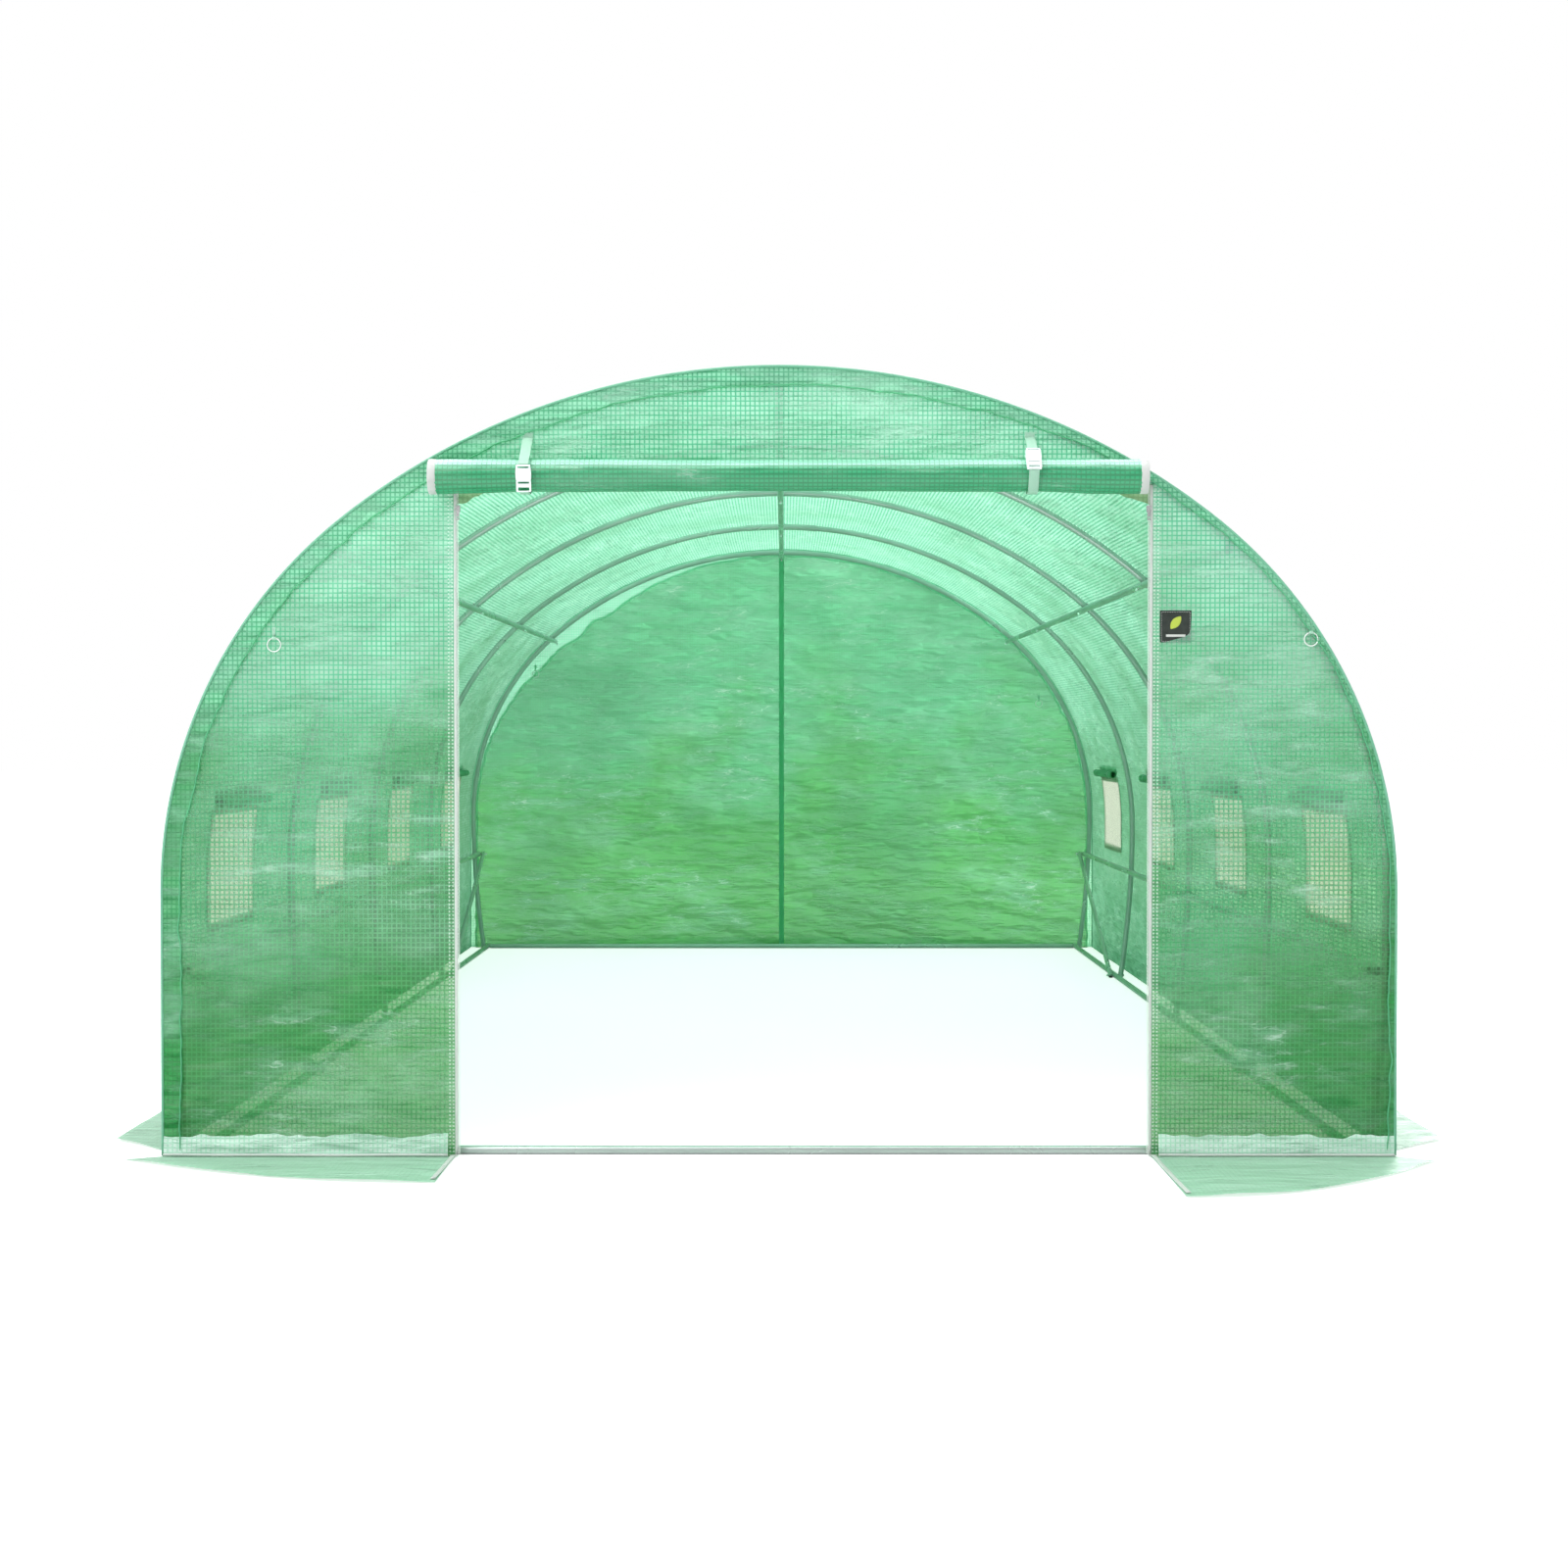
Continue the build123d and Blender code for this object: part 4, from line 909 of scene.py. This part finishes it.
gussets = [gusset("corner_gusset_left", door_left - 0.002, 1, 0.1, 0.052, 71.0),
           gusset("corner_gusset_right", door_right + 0.002, -1, 0.13, 0.046, 73.0)]

# ---- zips

coil_pitch = 0.0034
coil_turns = (header_bottom - 0.012) / coil_pitch
for (side, name), edge, depth in zip(SIDES, (door_left, door_right), (left_depth, right_depth)):
    heights = steps(0.006, header_bottom - 0.002, size=0.02)
    bend = np.linspace(0, math.pi / 2, 10)[1:]
    path_z = np.concatenate([heights[::-1], 0.006 - 0.002 * np.sin(bend)])
    path_y = np.concatenate([0 * heights - face_y - 0.0012, -face_y - 0.0012 - 0.012 * (1 - np.cos(bend))])
    path = places(edge - side * 0.0035, path_y, path_z)
    tape = band(f"zip_tape_{name}", path, (1, 0, 0), 0.008, 0.0022, zip_tape, "zip_tape", around=8)
    run_y = steps(0.01, depth - 0.026, size=0.02)
    path = places(edge + side * (0.004 + 0.006 * (run_y / depth) ** 2), -face_y - run_y, 0.0068)
    band(f"zip_tape_ground_{name}", path, (1, 0, 0), 0.012, 0.002, zip_tape, "zip_tape", around=8)
    angle = np.linspace(0, 2 * math.pi * coil_turns, int(coil_turns * 8))
    path = places(edge - side * 0.01 + 0.0019 * np.cos(angle), -face_y - 0.0009 + 0.0015 * np.sin(angle),
                  0.008 + coil_pitch * angle / (2 * math.pi))
    band(f"zip_coil_{name}", path, (0, 0, 1), 0.0012, 0.0012, zip_coil, "zip_tape", squareness=2, around=5)
    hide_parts(f"zipper_{name}")

# ---- straps


def rolled_point(radius, degrees):
    """Point (y, z) at a distance from the roll's axis; 0 degrees faces forward, 90 up."""
    angle = math.radians(degrees)
    return np.array([roll_y - radius * math.cos(angle), roll_z + radius * math.sin(angle)])


def reaching(point, sense):
    """Degrees at which a strap from a point (y, z) touches the roll."""
    forward, up = roll_y - point[0], point[1] - roll_z
    reach = math.degrees(math.acos(min(1, strap_path_radius / math.hypot(forward, up))))
    return math.degrees(math.atan2(up, forward)) + sense * reach


strap_wide, strap_thick = 0.025, 0.0015
anchor_z = 1.775  # where the straps are sewn to the header
anchor = np.array([-face_y - strap_thick, anchor_z])
strap_path_radius = roll_radius + 0.002
for (side, name), strap_x, angle in zip(SIDES, strap_xs, (-18, 39)):
    body = f"strap_{name}"
    turned = math.radians(angle)
    outward = np.array([-math.cos(turned), math.sin(turned)])
    upward = np.array([math.sin(turned), math.cos(turned)])
    seat = rolled_point(roll_radius + 0.003, angle)
    socket_mouth = seat + upward * 0.0375 + outward * 0.003
    share = np.linspace(0, 1, 26)
    y, z = between(anchor, socket_mouth, share[:, None]).T
    path = places(strap_x, y - 0.0012 * np.sin(math.pi * share) ** 2, z)
    front = band(f"strap_webbing_{name}", path, (1, 0, 0), strap_wide, strap_thick, webbing, "webbing", body)
    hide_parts(f"strap_front_{name}")
    patch = places(strap_x, anchor[0] + 0.0004, anchor[1] + np.linspace(-0.004, 0.012, 8))
    band(f"strap_anchor_{name}", patch, (1, 0, 0), strap_wide, 0.0016, webbing, "webbing", ROOT)

    plug_end = seat - upward * 0.0305 + outward * 0.003
    sling_end = np.array([anchor[0], header_bottom + 0.012])
    first = reaching(plug_end, -1)
    last = reaching(sling_end, 1)
    if last > first:
        last -= 360
    arc = [rolled_point(strap_path_radius, d) for d in np.linspace(first, last, 40)]
    lead_in = [between(plug_end, arc[0], k) for k in np.linspace(0, 1, 6)[:-1]]
    lead_out = [between(arc[-1], sling_end, k) for k in np.linspace(0, 1, 8)[1:]]
    path = places(strap_x, *np.array(lead_in + arc + lead_out).T)
    sling = band(f"strap_sling_{name}", path, (1, 0, 0), strap_wide, strap_thick, webbing, "webbing", None)
    if side < 0:
        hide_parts("strap_slings")
    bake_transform(sling)

# ---- ring loops and label

loop_radius = 0.0036
for place in ("front_left", "front_right", "rear_left", "rear_right"):
    ring = f"ring_{place}"
    ring_x, ring_y = middle(ring, 0), middle(ring, 1)
    wall = -face_y if place.startswith("front") else wall_y
    eye_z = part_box(ring)[1][2] - 0.0015
    turn = np.radians(np.linspace(200, -160, 24))
    around_ring = places(ring_x, ring_y - loop_radius * np.cos(turn), eye_z + loop_radius * np.sin(turn))
    tab = places(ring_x, wall - 0.0008, np.linspace(eye_z + 0.028, eye_z + loop_radius + 0.003, 5))
    publish(f"loop_{place}", *joined([
        band_mesh(around_ring, (1, 0, 0), 0.01, 0.0012, around=8),
        band_mesh(tab, (1, 0, 0), 0.01, 0.0014, around=8)]), [webbing], "webbing")
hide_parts("ring_loops")

s, t = np.meshgrid(np.linspace(-1, 1, 34), np.linspace(-1, 1, 34))
half_w, half_h = half("label", 0), half("label", 2)
mid_x, mid_z = middle("label", 0), middle("label", 2)
pillow = np.clip((1 - s**4) * (1 - t**4), 0, 1) ** 0.5
label_x, label_z = mid_x + half_w * s, mid_z + half_h * t
label = sheet_of("label_patch", label_x, -face_y - 0.0006 - 0.0018 * pillow, label_z, label_x, label_z,
                 [label_cloth], "label_patch")
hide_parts("label")
border = []
stitch_y = -face_y - 0.0026
left, right = mid_x - (half_w - 0.004), mid_x + (half_w - 0.004)
low, high = mid_z - (half_h - 0.004), mid_z + (half_h - 0.004)
corners = [(left, low), (right, low), (right, high), (left, high), (left, low)]
for (x0, z0), (x1, z1) in zip(corners, corners[1:]):
    count = int(math.hypot(x1 - x0, z1 - z0) / 0.004)
    for k in range(count):
        share = np.linspace(k + 0.15, k + 0.8, 3) / count
        path = places(between(x0, x1, share), stitch_y, between(z0, z1, share))
        border.append(band_mesh(path, (0, 1, 0), 0.0009, 0.0009, squareness=2, around=6))
stitches = publish("label_stitches", *joined(border), [pale_thread], "label_patch")

# Generic leaf and bar, embroidered on the label
s, t = np.meshgrid(np.linspace(0, 1, 22), np.linspace(-1, 1, 12))
leaf_width = 0.013 * np.sin(math.pi * s) ** 0.8
lean = math.radians(50)
along, across = (s - 0.5) * 0.04, leaf_width * t * 0.8
raised = 0.0012 * np.clip(1 - t * t, 0, 1) ** 0.5 * np.sin(math.pi * s) - 0.0006 * bell(t, 0.12)
leaf_x = mid_x + along * math.cos(lean) - across * math.sin(lean)
leaf_z = mid_z + 0.01 + along * math.sin(lean) + across * math.cos(lean)
leaf = sheet_of("label_leaf", leaf_x, stitch_y - raised, leaf_z, along, across, [leaf_thread], "label_patch")
bar_path = places(mid_x + np.linspace(-0.024, 0.024, 12), stitch_y - 0.0002, mid_z - 0.022)
bar = band("label_bar", bar_path, (0, 0, 1), 0.006, 0.0012, pale_thread, "label_patch")

# ---- CAD materials

finishes = {
    ("hoop", "left_", "right_", "crown_", "ridge_", "base_", "diagonal_"): steel_tube,
    ("frame_bolts",): bolt_steel, ("zip_slider",): slider_metal, ("buckle",): buckle_plastic,
    ("ring_front", "ring_rear"): ring_metal,
}
for node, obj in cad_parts.items():
    for starts, material in finishes.items():
        if node.startswith(starts):
            for material_slot in obj.material_slots:
                material_slot.material = material

# ---- floor, light and camera

floor_mesh = bpy.data.meshes.new("floor")
reach = 60.0
corners = [(-reach, -reach, 0), (reach, -reach, 0), (reach, reach, 0), (-reach, reach, 0)]
floor_mesh.from_pydata(corners, [], [(0, 1, 2, 3)])
floor = bpy.data.objects.new("floor", floor_mesh)
scene.collection.objects.link(floor)
floor.location.z = -0.0005
f = Finish("floor_paint")
mottle = f.ramp(f.noise(f.place(), 0.8, 3.0), 0.3, 0.7)
paint = f.glossy(f.colour(mottle, (0.86, 0.86, 0.86), (0.9, 0.9, 0.9)), 0.9)
seen = f.node("ShaderNodeLightPath").outputs["Is Camera Ray"]
lit = f.node("ShaderNodeEmission", {"Color": (1, 1, 1), "Strength": f.times(seen, 0.62)})
both = f.node("ShaderNodeAddShader", {0: paint, 1: lit.outputs[0]})
floor_mesh.materials.append(f.done(both.outputs[0]))

room_light = 0.52
world = bpy.data.worlds.new("studio")
world.use_nodes = True
backdrop = world.node_tree.nodes["Background"]
backdrop.inputs["Color"].default_value = (1, 1, 1, 1)
# The backdrop shows white, and lights the object more softly than it shows.
rays = world.node_tree.nodes.new("ShaderNodeLightPath")
level = world.node_tree.nodes.new("ShaderNodeMapRange")
level.inputs["To Min"].default_value = room_light
level.inputs["To Max"].default_value = 1.0
world.node_tree.links.new(rays.outputs["Is Camera Ray"], level.inputs["Value"])
world.node_tree.links.new(level.outputs[0], backdrop.inputs["Strength"])
scene.world = world


def soft_light(name, place, target, size, power):
    """Square area light aimed at a point."""
    lamp = bpy.data.lights.new(name, "AREA")
    lamp.shape, lamp.size, lamp.energy = "SQUARE", size, power
    light = bpy.data.objects.new(name, lamp)
    scene.collection.objects.link(light)
    light.location = place
    light.rotation_euler = (Vector(target) - Vector(place)).to_track_quat("-Z", "Y").to_euler()


soft_light("sky", (0, 0, 9.0), (0, 0, 0), 12.0, 1450)
soft_light("key", (-4.5, -8.0, 6.5), (0, -3, 0.9), 7.0, 500)
soft_light("rear_key", (5.0, 9.0, 6.0), (0, 3, 0.9), 3.0, 700)
scene.view_settings.view_transform = "Standard"

camera_data = bpy.data.cameras.new("camera")
camera_data.sensor_width = 36
camera_data.lens = 56.95
camera = bpy.data.objects.new("camera", camera_data)
scene.collection.objects.link(camera)
camera.location = (0.0125, -9.133, 1.0447)
camera.rotation_euler = (math.radians(90 - 1.144), 0, 0)
camera_data.clip_end = 300
scene.camera = camera
